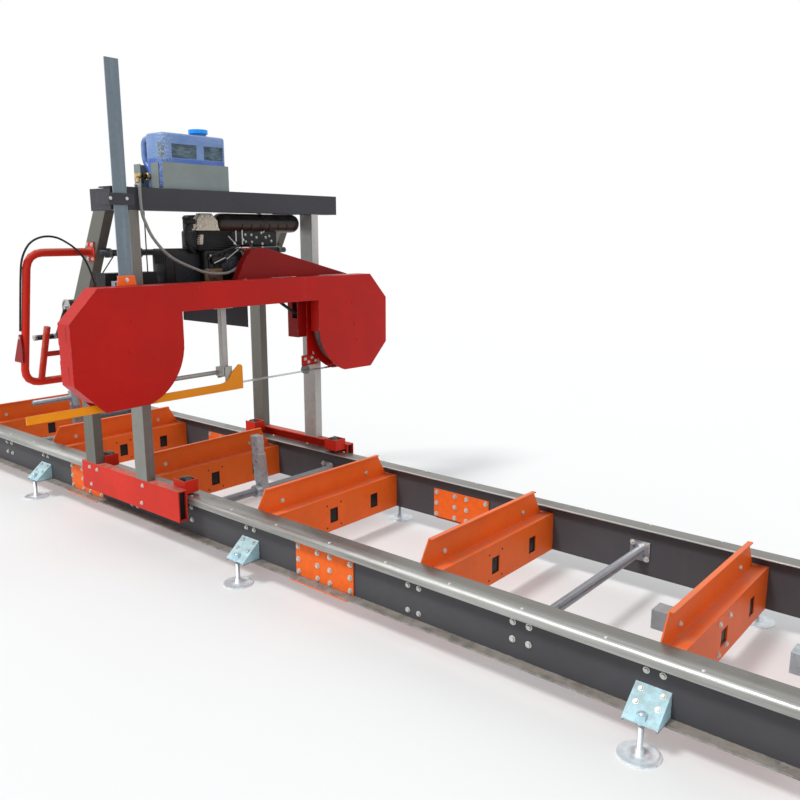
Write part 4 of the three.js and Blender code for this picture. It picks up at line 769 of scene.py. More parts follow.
def prepare_finishes(sizes, colours):
    """Makes each finish once and keeps it by name."""
    dust, wear = tuple(colours.dust), sizes.edge_wear
    orange, black, slate = tuple(colours.orange), tuple(colours.black), tuple(colours.slate)
    bare_roller, bare_receiver, foot_bracket = (0.2, 0.2, 0.2), (0.3, 0.32, 0.34), (0.5, 0.76, 0.84)
    flange_dust = (0.36, 0.335, 0.305)

    def coat(name, colour, roughness, dusty, **more):
        return painted(name, tuple(colour), dust, wear, roughness, dusty, **more)

    def tube(name, tone, roughness, shade, **more):
        return galvanised(name, tone, 0.003, roughness, shade=shade, **more)

    finishes.update(
        red=coat("red_powder_coat", colours.red, 0.38, 0.07),
        head=coat("head_coat", colours.red, 0.38, 0.07, areas=head_areas(black, bare_roller)),
        base_red=coat("red_base_coat", colours.base_red, 0.45, 0.6, mud=0.16),
        dark_red=coat("dark_red_coat", colours.dark_red, 0.42, 0.06),
        orange=coat("orange_coat", orange, 0.4, 0.3, mud=0.1),
        bunk=coat("bunk_coat", orange, 0.4, 0.3, mud=0.1, areas=receiver_areas(bare_receiver)),
        yellow=coat("yellow_coat", colours.yellow, 0.4, 0.15),
        rail=coat("rail_coat", colours.rail, 0.5, 0.4, areas=rail_areas(foot_bracket, orange, flange_dust)),
        beam=coat("dark_beam_coat", colours.beam, 0.45, 0.3),
        tray=coat("tray_coat", colours.tray, 0.5, 0.2),
        black=coat("black_coat", black, 0.4, 0.15),
        slate=coat("slate_coat", slate, 0.42, 0.15),
        # The air box's plate: slate darkened to half, a painted shade.
        plate=coat("shaded_plate_coat", shaded(slate, 0.5), 0.46, 0.1),
        # Each tube's last tone, and the guide's shade, is painted on its faces along +X for how the light
        # falls.
        post=tube("zinc_tube", (0.235, 0.235, 0.215), 0.46, (0.19, 0.175, 0.155), spangle=60.0),
        # The far front post takes a lighter copy of the zinc as painted light, the rear posts a darker one
        # as painted shade.
        far_post=tube("lit_zinc_tube", (0.4, 0.4, 0.38), 0.46, (0.46, 0.455, 0.43), spangle=60.0),
        rear_post=tube("shaded_zinc_tube", (0.155, 0.155, 0.135), 0.5, (0.15, 0.145, 0.125), spangle=60.0),
        mast=tube("blue_zinc", (0.23, 0.3, 0.36), 0.4, (0.16, 0.2, 0.235), areas=mast_areas(orange)),
        guide=galvanised("guide_zinc", (0.4, 0.395, 0.38), 0.0015, 0.4, shade=(0.36, 0.35, 0.33)),
        rod=galvanised("rod_zinc", (0.27, 0.29, 0.32), 0.0015, 0.34),
        # The foot discs are bright zinc, lightened further as a painted highlight for their tops that face
        # up.
        disc=galvanised("lit_foot_zinc", (0.8, 0.86, 0.9), 0.0015, 0.32, dusty=0.06),
        zinc=galvanised("bright_zinc", (0.42, 0.49, 0.52), 0.0015, 0.32),
        # The caps' last tone is a painted highlight along their shoulders and edges.
        cap=bare_steel("cap_steel", (0.2, 0.195, 0.175), roughness=0.3, rust=0.3, metallic=0.7,
                       sheen_tone=(0.6, 0.6, 0.58)),
        steel=bare_steel("bright_steel", (0.5, 0.5, 0.5)),
        bolt=bare_steel("bolt_zinc", (0.62, 0.62, 0.58), (40.0, 40.0, 40.0), 0.3, 0.15, 0.6),
        rollers=bare_steel("roller_steel", (0.1, 0.095, 0.09), (40.0, 2.0, 40.0), 0.45, 0.5),
        brass=bare_steel("tap_brass", (0.72, 0.5, 0.2), (30.0, 30.0, 30.0), 0.28, 0.1),
        iron=cast_metal("wheel_iron", (0.2, 0.2, 0.2), 0.5, 0.7),
        alloy=cast_metal("cast_alloy", (0.5, 0.44, 0.36), 0.4, 0.6),
        bronze=cast_metal("bare_casting", tuple(colours.bronze), 0.5, 0.5),
        engine=moulded("engine_black", shaded(black, 0.4), 0.48),
        silencer=moulded("silencer_black", (0.014, 0.012, 0.011), 0.36, 200.0, under=(0.045, 0.02, 0.012)),
        rubber=moulded("black_rubber", (0.012, 0.012, 0.012), 0.7, 260.0),
        cable=moulded("cable_sheath", (0.012, 0.012, 0.013), 0.45, 700.0),
        tank_cap=moulded("blue_cap_plastic", tuple(colours.tank_cap), 0.38, 300.0),
        tank=tank_plastic("tank_plastic", tuple(colours.tank)),
        hose=braided("braided_hose", (0.2, 0.2, 0.18), (0.46, 0.45, 0.42)),
    )


def settings():
    """The sizes and colours of the scene."""
    scene = bpy.context.scene
    return scene.sawmill_sizes, scene.sawmill_colours


def finish(look):
    """A finish by its name. They are all made when one is asked for that isn't there yet."""
    if look not in finishes:
        prepare_finishes(*settings())
    return finishes[look]


# Routes of the cords, as the solids have them


def machine(points):
    """Points in millimetres from the track's centre line, as metres of the frame."""
    return np.asarray(points, float) / 1000 + [0.0, CENTRE_Y, 0.0]


HOSE_ROUTE = [
    (-250, -375.7, 1471.5), (-250, -375.8, 1464), (-244, -387, 1457), (-205, -414, 1456),
    (-165, -433, 1456), (-143, -442, 1455.5), (-129.5, -446, 1449), (-127.5, -447, 1434),
    (-126, -448, 1410), (-124, -448, 1370), (-124, -444, 1342), (-126, -434, 1318),
    (-130, -408, 1268), (-135, -372, 1226),
    (-140, -330, 1190), (-146, -278, 1162), (-149, -215, 1137), (-150, -150, 1115), (-150, -90, 1107),
    (-150, -30, 1110), (-150, 20, 1130), (-150, 60, 1158), (-153, 82, 1184), (-166, 86, 1194),
    (-181.6, 86, 1195),
]
CABLE_ROUTE = [
    (-500, -776.8, 900), (-487, -777, 960), (-469, -777.4, 1040), (-452, -778, 1110), (-438, -776, 1166),
    (-422, -768, 1206), (-411, -751, 1236), (-406, -724, 1254), (-407, -687, 1262), (-409, -647, 1258),
    (-410, -611, 1242), (-406, -573, 1214), (-404, -539, 1172), (-400, -519, 1120), (-396, -506, 1068),
    (-390, -478, 1046), (-380, -430, 1044), (-366, -372, 1066), (-338, -334, 1094), (-309, -306, 1107),
    (-302, -283.4, 1108),
]


def cord_piece(name, route, radius, look, sides):
    """A tube along a route, with u along its length and v round it in its UV map."""
    line = smooth_route(route)
    vertices, faces = tube_shape(line, radius, sides)
    mesh = bpy.data.meshes.new(name)
    mesh.from_pydata(vertices.tolist(), [], faces)
    travelled = np.concatenate([[0.0], np.cumsum(np.linalg.norm(np.diff(line, axis=0), axis=1))])
    loops = np.empty(len(mesh.loops), int)
    mesh.loops.foreach_get("vertex_index", loops)
    u = travelled[loops // sides]
    v = (loops % sides) / sides
    quads = (len(line) - 1) * sides
    last = np.tile(np.arange(sides) == sides - 1, len(line) - 1)
    seam = np.zeros(len(loops), bool)
    seam[: quads * 4] = np.repeat(last, 4) & np.tile([False, True, True, False], quads)
    v = np.where(seam, 1.0, v)
    layer = mesh.uv_layers.new(name="UVMap")
    layer.data.foreach_set("uv", np.stack([u, v], -1).astype(np.float32).ravel())
    piece = put_in_scene(name, mesh, look, 60, merge=False)
    return piece, line, float(travelled[-1])


class SAWMILL_OT_stage(bpy.types.Operator):
    """Makes the camera, the lamps, the world and a pale floor that fades into the background"""

    bl_idname = "sawmill.stage"
    bl_label = "Stage"

    image_size = 800
    focal_pixels = 807.45
    camera_place = (2.6561, -2.2175, 1.272)
    camera_azimuth = 40.197
    camera_elevation = 11.635
    camera_reach = (0.05, 200.0)
    sun_way = (0.2, 0.6, -0.78)
    fade_start = 3.5
    fade_end = 8.0
    floor_lift = 0.12
    sun_strength = 1.75
    sun_width = 12
    sky = (0.94, 0.97, 1.0, 1.0)
    sky_strength = 0.82
    white = (1.0, 1.0, 1.0, 1.0)

    def execute(self, context):
        sizes, colours = settings()
        scene = context.scene
        scene.view_settings.view_transform = "Standard"
        lens = bpy.data.cameras.new("camera")
        lens.lens = lens.sensor_width * self.focal_pixels / self.image_size
        lens.clip_start, lens.clip_end = self.camera_reach
        camera = bpy.data.objects.new("camera", lens)
        scene.collection.objects.link(camera)
        camera.location = Vector(self.camera_place) + Vector((0, CENTRE_Y, 0))
        turn, tilt = math.radians(self.camera_azimuth), math.radians(self.camera_elevation)
        look = Vector((-math.sin(turn) * math.cos(tilt), math.cos(turn) * math.cos(tilt), -math.sin(tilt)))
        camera.rotation_euler = look.to_track_quat("-Z", "Y").to_euler()
        scene.camera = camera
        sun = bpy.data.lights.new("key_lamp", "SUN")
        sun.energy, sun.angle = self.sun_strength, math.radians(self.sun_width)
        key = bpy.data.objects.new("key_lamp", sun)
        scene.collection.objects.link(key)
        key.rotation_euler = Vector(self.sun_way).to_track_quat("-Z", "Y").to_euler()
        self.make_world(scene)
        self.make_floor(sizes.floor_radius, tuple(colours.floor))
        return {"FINISHED"}

    def seen_rays(self, nodes, links):
        """1 for rays from the camera and for those that metal or glass sends on."""
        path = nodes.new("ShaderNodeLightPath")
        total = path.outputs["Is Camera Ray"]
        for kind in ("Is Glossy Ray", "Is Transmission Ray"):
            adder = nodes.new("ShaderNodeMath")
            adder.operation = "MAXIMUM"
            links.new(total, adder.inputs[0])
            links.new(path.outputs[kind], adder.inputs[1])
            total = adder.outputs[0]
        return total

    def make_world(self, scene):
        """A pale world: soft light on the object, and white behind it."""
        world = bpy.data.worlds.new("studio")
        scene.world = world
        world.use_nodes = True
        nodes, links = world.node_tree.nodes, world.node_tree.links
        nodes.clear()
        light, seen = nodes.new("ShaderNodeBackground"), nodes.new("ShaderNodeBackground")
        light.inputs["Color"].default_value = self.sky
        light.inputs["Strength"].default_value = self.sky_strength
        seen.inputs["Color"].default_value = self.white
        mixer, output = nodes.new("ShaderNodeMixShader"), nodes.new("ShaderNodeOutputWorld")
        links.new(self.seen_rays(nodes, links), mixer.inputs[0])
        links.new(light.outputs[0], mixer.inputs[1])
        links.new(seen.outputs[0], mixer.inputs[2])
        links.new(mixer.outputs[0], output.inputs[0])

    def make_floor(self, radius, pale):
        """A disc at z = 0, a little brighter to the camera than it is lit, that passes into the
        background's white with distance; it keeps the object's shadow."""
        m = Finish("studio_floor")
        m.set(Base_Color=m.mix(m.noise(0.8, 3.0), shaded(pale, 0.98), pale), Roughness=0.8)
        distance = m.add("ShaderNodeVectorMath", operation="LENGTH")
        m.put(distance.inputs[0], m.place)
        far = m.span(distance.outputs["Value"], self.fade_start, self.fade_end)
        rays = self.seen_rays(m.nodes, m.links)
        lift, glow = m.add("ShaderNodeEmission"), m.add("ShaderNodeEmission")
        m.put(lift.inputs["Strength"], m.times(rays, self.floor_lift))
        lifted, mixer = m.add("ShaderNodeAddShader"), m.add("ShaderNodeMixShader")
        m.links.new(m.shader.outputs[0], lifted.inputs[0])
        m.links.new(lift.outputs[0], lifted.inputs[1])
        m.links.new(m.times(far, rays), mixer.inputs[0])
        m.links.new(lifted.outputs[0], mixer.inputs[1])
        m.links.new(glow.outputs[0], mixer.inputs[2])
        output = next(n for n in m.nodes if n.type == "OUTPUT_MATERIAL")
        m.links.new(mixer.outputs[0], output.inputs["Surface"])
        disc = turned([(radius, -0.02), (radius, 0.0)], 96)
        finishes["floor"] = m.material
        make_piece("floor", [disc], "floor", None)


class SAWMILL_OT_cords(bpy.types.Operator):
    """Makes the water hose, the throttle cable and the wires that carry the head"""

    bl_idname = "sawmill.cords"
    bl_label = "Hose, cable and wires"

    hose_stretch = ((0, 0, 1.4), (0, 0, 1.14))
    cable_stretch = ((0, across(-0.5), 0), (0, across(-0.3), 0))
    beam_wire_top = (-0.235, -0.366, 1.3595)
    winch_wire_ends = ((-0.357, -0.44, 1.184), (-0.524, -0.485, 0.998))
    wire_steps = 20
    lug_half = (0.008, 0.012)
    lug_levels = (BED_TOP - 0.01, BED_TOP + 0.002)
    beam_lug = ((-0.247, -0.376), (-0.223, -0.3295))

    def execute(self, context):
        sizes, _ = settings()
        cords = (
            ("water_hose_braid", "water_hose", HOSE_ROUTE, sizes.hose_radius, "hose", 14,
             self.hose_stretch, "medium"),
            ("throttle_cable_sheath", "throttle_cable", CABLE_ROUTE, sizes.cable_radius, "cable", 12,
             self.cable_stretch, "stiff"),
        )
        for name, node, route, radius, look, sides, (start, end), stiffness in cords:
            cord, line, length = cord_piece(name, machine(route), radius, look, sides)
            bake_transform(cord)
            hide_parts(node)
        self.make_wires(sizes.wire_radius)
        return {"FINISHED"}

    def make_wires(self, radius):
        """Two lift wires from the drums to lugs behind the engine bed, one from the top beam's arm to the
        head, and the winch's wire to the shaft."""
        low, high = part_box("lift_shaft")
        drum_x = (low.x + high.x) / 2 + DRUM_RADIUS + radius
        drum_z = (low.z + high.z) / 2
        for i, s in enumerate((-DRUM_WIRE, DRUM_WIRE)):
            self.make_wire(f"lift_wire_{i + 1}", (drum_x, s, drum_z), (drum_x, s, BED_TOP), radius)
        x, s, z = self.beam_wire_top
        self.make_wire("beam_wire", (x, s, z), (x, s, BED_TOP), radius)
        half_x, half_s = self.lug_half
        bottom, top = self.lug_levels
        lugs = [block((drum_x - half_x, s - half_s, bottom), (BED_BACK + 0.0005, s + half_s, top))
                for s in (-DRUM_WIRE, DRUM_WIRE)]
        first, last = self.beam_lug
        lugs.append(block((*first, bottom), (*last, top)))
        make_piece("wire_lugs", lugs, "black", "head")
        self.make_wire("winch_wire", *self.winch_wire_ends, radius, "carriage")

    def make_wire(self, name, start, end, radius, body=None):
        """A taut wire between two places, from the carriage to the head unless it rides on one body."""
        points = np.linspace(spot(*start), spot(*end), self.wire_steps)
        wire = make_piece(name, [tube_shape(points, radius, 8)], "cable", body, 60)
        if not body:
            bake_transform(wire)


class SAWMILL_OT_track(bpy.types.Operator):
    """Finishes the rails, makes their caps, and adds their bolts and under-plates"""

    bl_idname = "sawmill.track"
    bl_label = "Track"

    splice_columns = (-0.125, -0.03, 0.03, 0.125)
    splice_rows = (0.103, 0.15, 0.197)
    splice_outer = 0.405
    splice_inner = 0.3897
    under_plate = ((-0.138, 0.4, 0.0785), (0.138, 0.437, 0.0837))
    cap_inner = 0.363
    cap_outer = 0.445
    cap_bend = 0.016
    cap_sheet = 0.003
    cap_bolt_dome = (0.0055, 0.0028)
    cap_bolt_line = 0.4285
    cap_bolt_pitch = 0.2492
    cap_bolt_starts = (-2.222, -0.675, 0.836)
    cap_bolts_each = 6
    stub_span = (2.178, 2.263)
    stub_wall = 0.004
    bracket_bolts = ((0.4125, 0.1489), (0.4405, 0.1259))
    bracket_columns = (-0.028, 0.03)
    bracket_slope = (0.635, 0.772)
    tie_bolts = (-0.0265, 0.0265)
    tie_height = 0.172

    def execute(self, context):
        sizes, _ = settings()
        for side, _ in SIDES:
            finish_nodes("rail", *(f"{side}_rail_{section}" for section in ("left", "middle", "right")))
        for i in range(1, 4):
            smoothed(f"tie_rod_{i}", "rod", "track")
        seams = (-SECTION / 2, SECTION / 2)
        self.make_bolts(sizes, seams)
        xs = [start + self.cap_bolt_pitch * i for start in self.cap_bolt_starts
              for i in range(self.cap_bolts_each)]
        domes = [spot(x, side * self.cap_bolt_line, CAP_TOP) for _, side in SIDES for x in xs]
        bolted("cap_bolts", [repeated(dome_shape(*self.cap_bolt_dome), domes, (0, 0, 1))], "track")
        (start, inner, low), (end, outer, high) = self.under_plate
        plates = [block((x + start, side * inner, low), (x + end, side * outer, high), 0.001)
                  for x in seams for _, side in SIDES]
        make_piece("splice_under_plates", plates, "orange", "track")
        self.make_caps()
        self.make_stub()
        return {"FINISHED"}

    def make_bolts(self, sizes, seams):
        """Bolts of the splices, of the tie rods' flanges and of the foot brackets."""
        head, nut, small = bolt_shape(sizes), bolt_shape(sizes, 1.0, 0.006), bolt_shape(sizes, 0.8)
        splices = [(x + column, z) for x in seams for column in self.splice_columns
                   for z in self.splice_rows]
        sections = (-SECTION, 0.0, SECTION)
        ties = [(x + a, self.tie_height + b) for x in sections for a in self.tie_bolts
                for b in self.tie_bolts]
        shapes = []
        for _, side in SIDES:
            outside, inside = (head, nut) if side < 0 else (nut, head)
            brackets = [spot(x + FOOT_OFFSET + column, side * s, z) for x in sections
                        for column in self.bracket_columns for s, z in self.bracket_bolts]
            across_slope, up_slope = self.bracket_slope
            shapes += [
                on_side(outside, splices, side * self.splice_outer, side),
                on_side(inside, splices, side * self.splice_inner, -side),
                on_side(head, ties, side * WEB_OUTER, side),
                on_side(nut, ties, side * self.splice_inner, -side),
                repeated(small, brackets, (0, side * across_slope, up_slope)),
            ]
        bolted("track_bolts", shapes, "track")

    def make_stub(self):
        """A short square zinc tube behind the right end crossmember: a square ring carried along x."""
        s, z, half = RECEIVER
        start, end = self.stub_span
        square = np.array([(-1.0, -1.0), (1.0, -1.0), (1.0, 1.0), (-1.0, 1.0)])
        bore = half - self.stub_wall
        corners = ((start, half), (end, half), (end, bore), (start, bore), (start, half))
        rings = [np.column_stack([np.full(4, x), across(s) + square[:, 0] * r, z + square[:, 1] * r])
                 for x, r in corners]
        make_piece("end_receiver", [skin(np.array(rings), closed=False)], "zinc", "track", 20)

    def make_caps(self):
        """Folded caps: a flat top, an outer shoulder of a quarter circle and a lip, carried along x."""
        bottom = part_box("near_rail_cap")[0].z
        turn = np.linspace(math.pi / 2, 0.0, 9)
        centre_s, centre_z = self.cap_outer - self.cap_bend, CAP_TOP - self.cap_bend
        outer, inner = (
            [(centre_s + r * math.cos(a), centre_z + r * math.sin(a)) for a in turn]
            for r in (self.cap_bend, self.cap_bend - self.cap_sheet)
        )
        outline = [
            (self.cap_inner, CAP_TOP - self.cap_sheet), (self.cap_inner, CAP_TOP), *outer,
            (self.cap_outer, bottom), (self.cap_outer - self.cap_sheet, bottom), *inner[::-1],
        ]
        for name, side in SIDES:
            fold = prism([(side * s, z) for s, z in outline], -TRACK_END, TRACK_END)
            cap = make_piece(name + "_cap_fold", [fold], "cap", "track", 40)
            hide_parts(name + "_rail_cap")


class SAWMILL_OT_bunks(bpy.types.Operator):
    """Finishes the bunks and adds their bolts, and black plates and discs in their holes as painted shade
    """

    bl_idname = "sawmill.bunks"
    bl_label = "Bunks"

    count = 6
    web_bolts = ((-0.018, 0.112), (-0.018, 0.196), (-0.062, 0.112), (-0.062, 0.196))
    upstand_bolts = ((-0.235, 0.262), (0.245, 0.262))
    upstand_back = 0.045
    upstand_sheet = 0.004
    receiver_bolts = ((-0.05, 0.202), (0.032, 0.201), (0.018, 0.116), (-0.045, 0.108))
    hole_middle = 0.002
    hole_pitch = 0.243
    hole_half = 0.0225
    hole_levels = (0.118, 0.179)
    plate_margin = 0.008
    shade_plate_depths = (0.0065, 0.0045)
    receiver_margin = 0.0055
    dots = ((-0.04, -0.047), (-0.04, 0.047), (0.04, -0.047), (0.04, 0.047))
    dot_profile = ((0.0042, -0.0005), (0.0042, 0.0004), (0.003, 0.0005))

    def execute(self, context):
        sizes, _ = settings()
        head, nut = bolt_shape(sizes, 0.9), bolt_shape(sizes, 0.9, 0.005)
        shapes = []
        for i in range(1, self.count + 1):
            finish_nodes("bunk", f"bunk_{i}")
            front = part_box(f"bunk_{i}")[1].x
            web = [(front + x, z) for x, z in self.web_bolts]
            shapes += [on_side(head, web, side * WEB_OUTER, side) for _, side in SIDES]
            face = front - self.upstand_back
            shapes.append(on_front(head, self.upstand_bolts, face))
            shapes.append(on_front(nut, self.upstand_bolts, face - self.upstand_sheet, -1))
        shapes.append(on_front(head, self.receiver_bolts, front))
        bolted("bunk_bolts", shapes, "track")
        self.make_pockets()
        return {"FINISHED"}

    def make_pockets(self):
        """Black plates behind the square holes, where a back wall would stand, and four small black discs
        as bolt
        holes round each middle one: painted shade for the dark seen through the holes.
        """
        bottom, top = self.hole_levels
        middle = (bottom + top) / 2
        start, end = self.shade_plate_depths
        plates, dots = [], []
        for i in range(1, self.count + 1):
            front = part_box(f"bunk_{i}")[1].x
            for place in (-1, 0, 1):
                s = self.hole_middle + place * self.hole_pitch
                reach = self.hole_half + self.plate_margin
                low, high = bottom - self.plate_margin, top + self.plate_margin
                if i == self.count and place == 0:
                    s, z, half = RECEIVER
                    reach = half - self.receiver_margin
                    low, high = z - reach, z + reach
                back, ahead = front - start, front - end
                plates.append(block((back, s - reach, low), (ahead, s + reach, high), 0.0008))
            if i < self.count:
                dots += [spot(front, self.hole_middle + a, middle + b) for a, b in self.dots]
        # Painted shade: black plates behind the holes, and black discs as bolt holes.
        make_piece("bunk_pocket_shade", plates, "black", "track")
        holes = repeated(turned(self.dot_profile, 12), dots, (1, 0, 0))
        make_piece("bunk_bolt_hole_shade", [holes], "black", "track")


class SAWMILL_OT_feet(bpy.types.Operator):
    """Finishes the levelling feet and the dog that holds the work"""

    bl_idname = "sawmill.feet"
    bl_label = "Feet and dog"

    def execute(self, context):
        for side, _ in SIDES:
            for i in range(1, 4):
                name = f"{side}_foot_{i}"
                smoothed(name, "disc", name)
        smoothed("log_dog_sleeve", "zinc", "log_dog_sleeve")
        finish_nodes("zinc", "log_dog_post")
        return {"FINISHED"}


class SAWMILL_OT_carriage(bpy.types.Operator):
    """Finishes the carriage, its rollers, posts and top frame, and adds their bolts"""

    bl_idname = "sawmill.carriage"
    bl_label = "Carriage"

    base_bolts = ((-0.581, 0.272), (-0.576, 0.195), (-0.184, 0.194), (-0.17, 0.27), (-0.52, 0.27))
    beam_bolts = ((-0.548, 1.374), (-0.548, 1.432), (-0.535, 1.374), (-0.535, 1.432))
    clamp_bolts = ((-0.606, 1.398), (-0.54, 1.398))
    channel_levels = (0.1735, 0.2875)
    # Depths and sides of the dark plates that paint the shade inside the beams' open ends.
    shade_plate_depths = (0.015, 0.013)
    shade_plate_sides = (0.4525, 0.4865)
    web_depths = (0.0136, 0.0003)
    web_sides = (0.4515, 0.456)

    def execute(self, context):
        sizes, _ = settings()
        for side, _ in SIDES:
            finish_nodes("base_red", f"{side}_carriage_base")
            # The far front post gets a lit copy of the zinc and the rear posts a shaded copy: painted light
            # and shade.
            finish_nodes("far_post" if side == "far" else "post", f"{side}_front_post")
            finish_nodes("rear_post", f"{side}_rear_post")
            for place in ("front", "rear"):
                name = f"{side}_{place}_roller"
                smoothed(name, "rollers", name)
        finish_nodes("beam", "top_frame")
        smoothed("lift_shaft", "slate", "lift_shaft")
        outer = CENTRE_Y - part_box("near_carriage_base")[0].y
        head = bolt_shape(sizes, 0.85)
        shapes = [on_side(head, self.base_bolts, side * outer, side) for _, side in SIDES]
        shapes.append(on_front(bolt_shape(sizes, 0.5), self.beam_bolts, BEAM_FRONT))
        shapes.append(on_front(bolt_shape(sizes, 0.6), self.clamp_bolts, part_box("top_frame")[1].x))
        bolted("carriage_bolts", shapes, "carriage")
        self.make_base_ends()
        return {"FINISHED"}

    def make_base_ends(self):
        """Near each end of a base beam's channel: a dark plate, painted shade for the open end, and a web
        on the inner side.
        """
        bottom, top = self.channel_levels
        for piece, depths, sides, look, slot in (
            ("base_end_shade_plates", self.shade_plate_depths, self.shade_plate_sides, "black", "black"),
            ("base_end_webs", self.web_depths, self.web_sides, "base_red", "red"),
        ):
            shapes = []
            for name, side in SIDES:
                first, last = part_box(f"{name}_carriage_base")
                inner, outer = (side * s for s in sides)
                for end, into in ((first.x, 1.0), (last.x, -1.0)):
                    deep, shallow = (end + into * depth for depth in depths)
                    shapes.append(block((deep, inner, bottom), (shallow, outer, top), 0.0005))
            make_piece(piece, shapes, look, "carriage")


class SAWMILL_OT_controls(bpy.types.Operator):
    """Finishes the push handle, the throttle lever and the winch crank"""

    bl_idname = "sawmill.controls"
    bl_label = "Handle and winch"

    winch_place = (-0.545, 0.976)
    hub_face = -0.556
    hub_profile = (
        (0.027, 0.0), (0.033, 0.0), (0.0335, -0.002), (0.033, -0.004), (0.027, -0.004), (0.0265, -0.0005),
        (0.012, -0.0005), (0.012, -0.003), (0.0085, -0.004), (0.0085, -0.011), (0.006, -0.0125),
    )
    drum_profile = ((0.03, -0.528), (0.03, -0.524), (0.014, -0.522), (0.014, -0.494), (0.03, -0.494))
    grip_place = (-0.64, 0.85)
    grip_ends = (-0.655, -0.571)
    ferrule_profile = ((0.0095, -0.006), (0.0122, -0.005), (0.0122, 0.005), (0.0095, 0.006))
    pin_shares = (0.2, 0.8)
    pin_drop = 0.014
    flange_face = -0.4985
    flange_bolts = ((-0.412, 1.229), (-0.448, 1.229), (-0.412, 1.173), (-0.448, 1.173))

    def execute(self, context):
        sizes, _ = settings()
        smoothed("push_handle", "base_red", "carriage", 40)
        finish_nodes("dark_red", "throttle_lever")
        smoothed("winch_crank", "black", "winch_crank")
        self.make_winch()
        flange = on_side(bolt_shape(sizes, 0.75), self.flange_bolts, self.flange_face, -1)
        bolted("handle_bolts", [flange], "carriage")
        low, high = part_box("throttle_lever")
        back, ahead = self.pin_shares
        pin = (low.x * back + high.x * ahead, low.y, high.z - self.pin_drop)
        bolted("throttle_pin", [repeated(bolt_shape(sizes, 0.6), [pin], (0, -1, 0))], "throttle_lever")
        return {"FINISHED"}

    def make_winch(self):
        """A bright ratchet ring and a nut on the hub, ferrules on the grip, and a small wire drum."""
        x, z = self.winch_place
        grip_x, grip_z = self.grip_place
        ring = [turned(self.hub_profile, 32, spot(x, self.hub_face, z), "y")]
        ring += [turned(self.ferrule_profile, 24, spot(grip_x, s, grip_z), "y") for s in self.grip_ends]
        make_piece("winch_ring", ring, "steel", "winch_crank", 40)
        drum = turned(self.drum_profile, 28, spot(x, 0.0, z), "y")
        make_piece("winch_drum", [drum], "black", "winch_crank", 40)


class SAWMILL_OT_tank(bpy.types.Operator):
    """Finishes the tray, the water tank, its cap and its tap"""

    bl_idname = "sawmill.tank"
    bl_label = "Water tank"

    tap_place = (-0.25, -0.3217, 1.495)
    tap_reach = 0.054
    barrel_profile = (
        (0.0135, 0.0), (0.0135, -0.012), (0.0095, -0.014), (0.0095, -0.03), (0.0115, -0.032),
        (0.0115, -0.046), (0.0085, -0.055), (0.0085, -0.0625), (0.004, -0.063),
    )
    spout_profile = (
        (0.0066, 0.0), (0.0066, -0.017), (0.0078, -0.018), (0.0078, -0.0232), (0.0065, -0.0234),
    )
    nut_profile = ((0.0125, -0.0165), (0.0135, -0.0175), (0.0135, -0.0275), (0.0125, -0.0285))

    def execute(self, context):
        finish_nodes("tray", "tank_tray")
        smoothed("water_tank", "tank", "carriage", 30)
        smoothed("tank_cap", "tank_cap", "tank_cap", 20)
        finish_nodes("black", "tap_lever")
        x, s, z = self.tap_place
        root = spot(x, s, z)
        tap = [turned(self.barrel_profile, 24, root, "y"),
               turned(self.spout_profile, 20, spot(x, s - self.tap_reach, z), "z")]
        make_piece("tap_barrel", tap, "brass", "carriage", 40)
        make_piece("tap_nut", [turned(self.nut_profile, 6, root, "y")], "rubber", "carriage", 20)
        return {"FINISHED"}


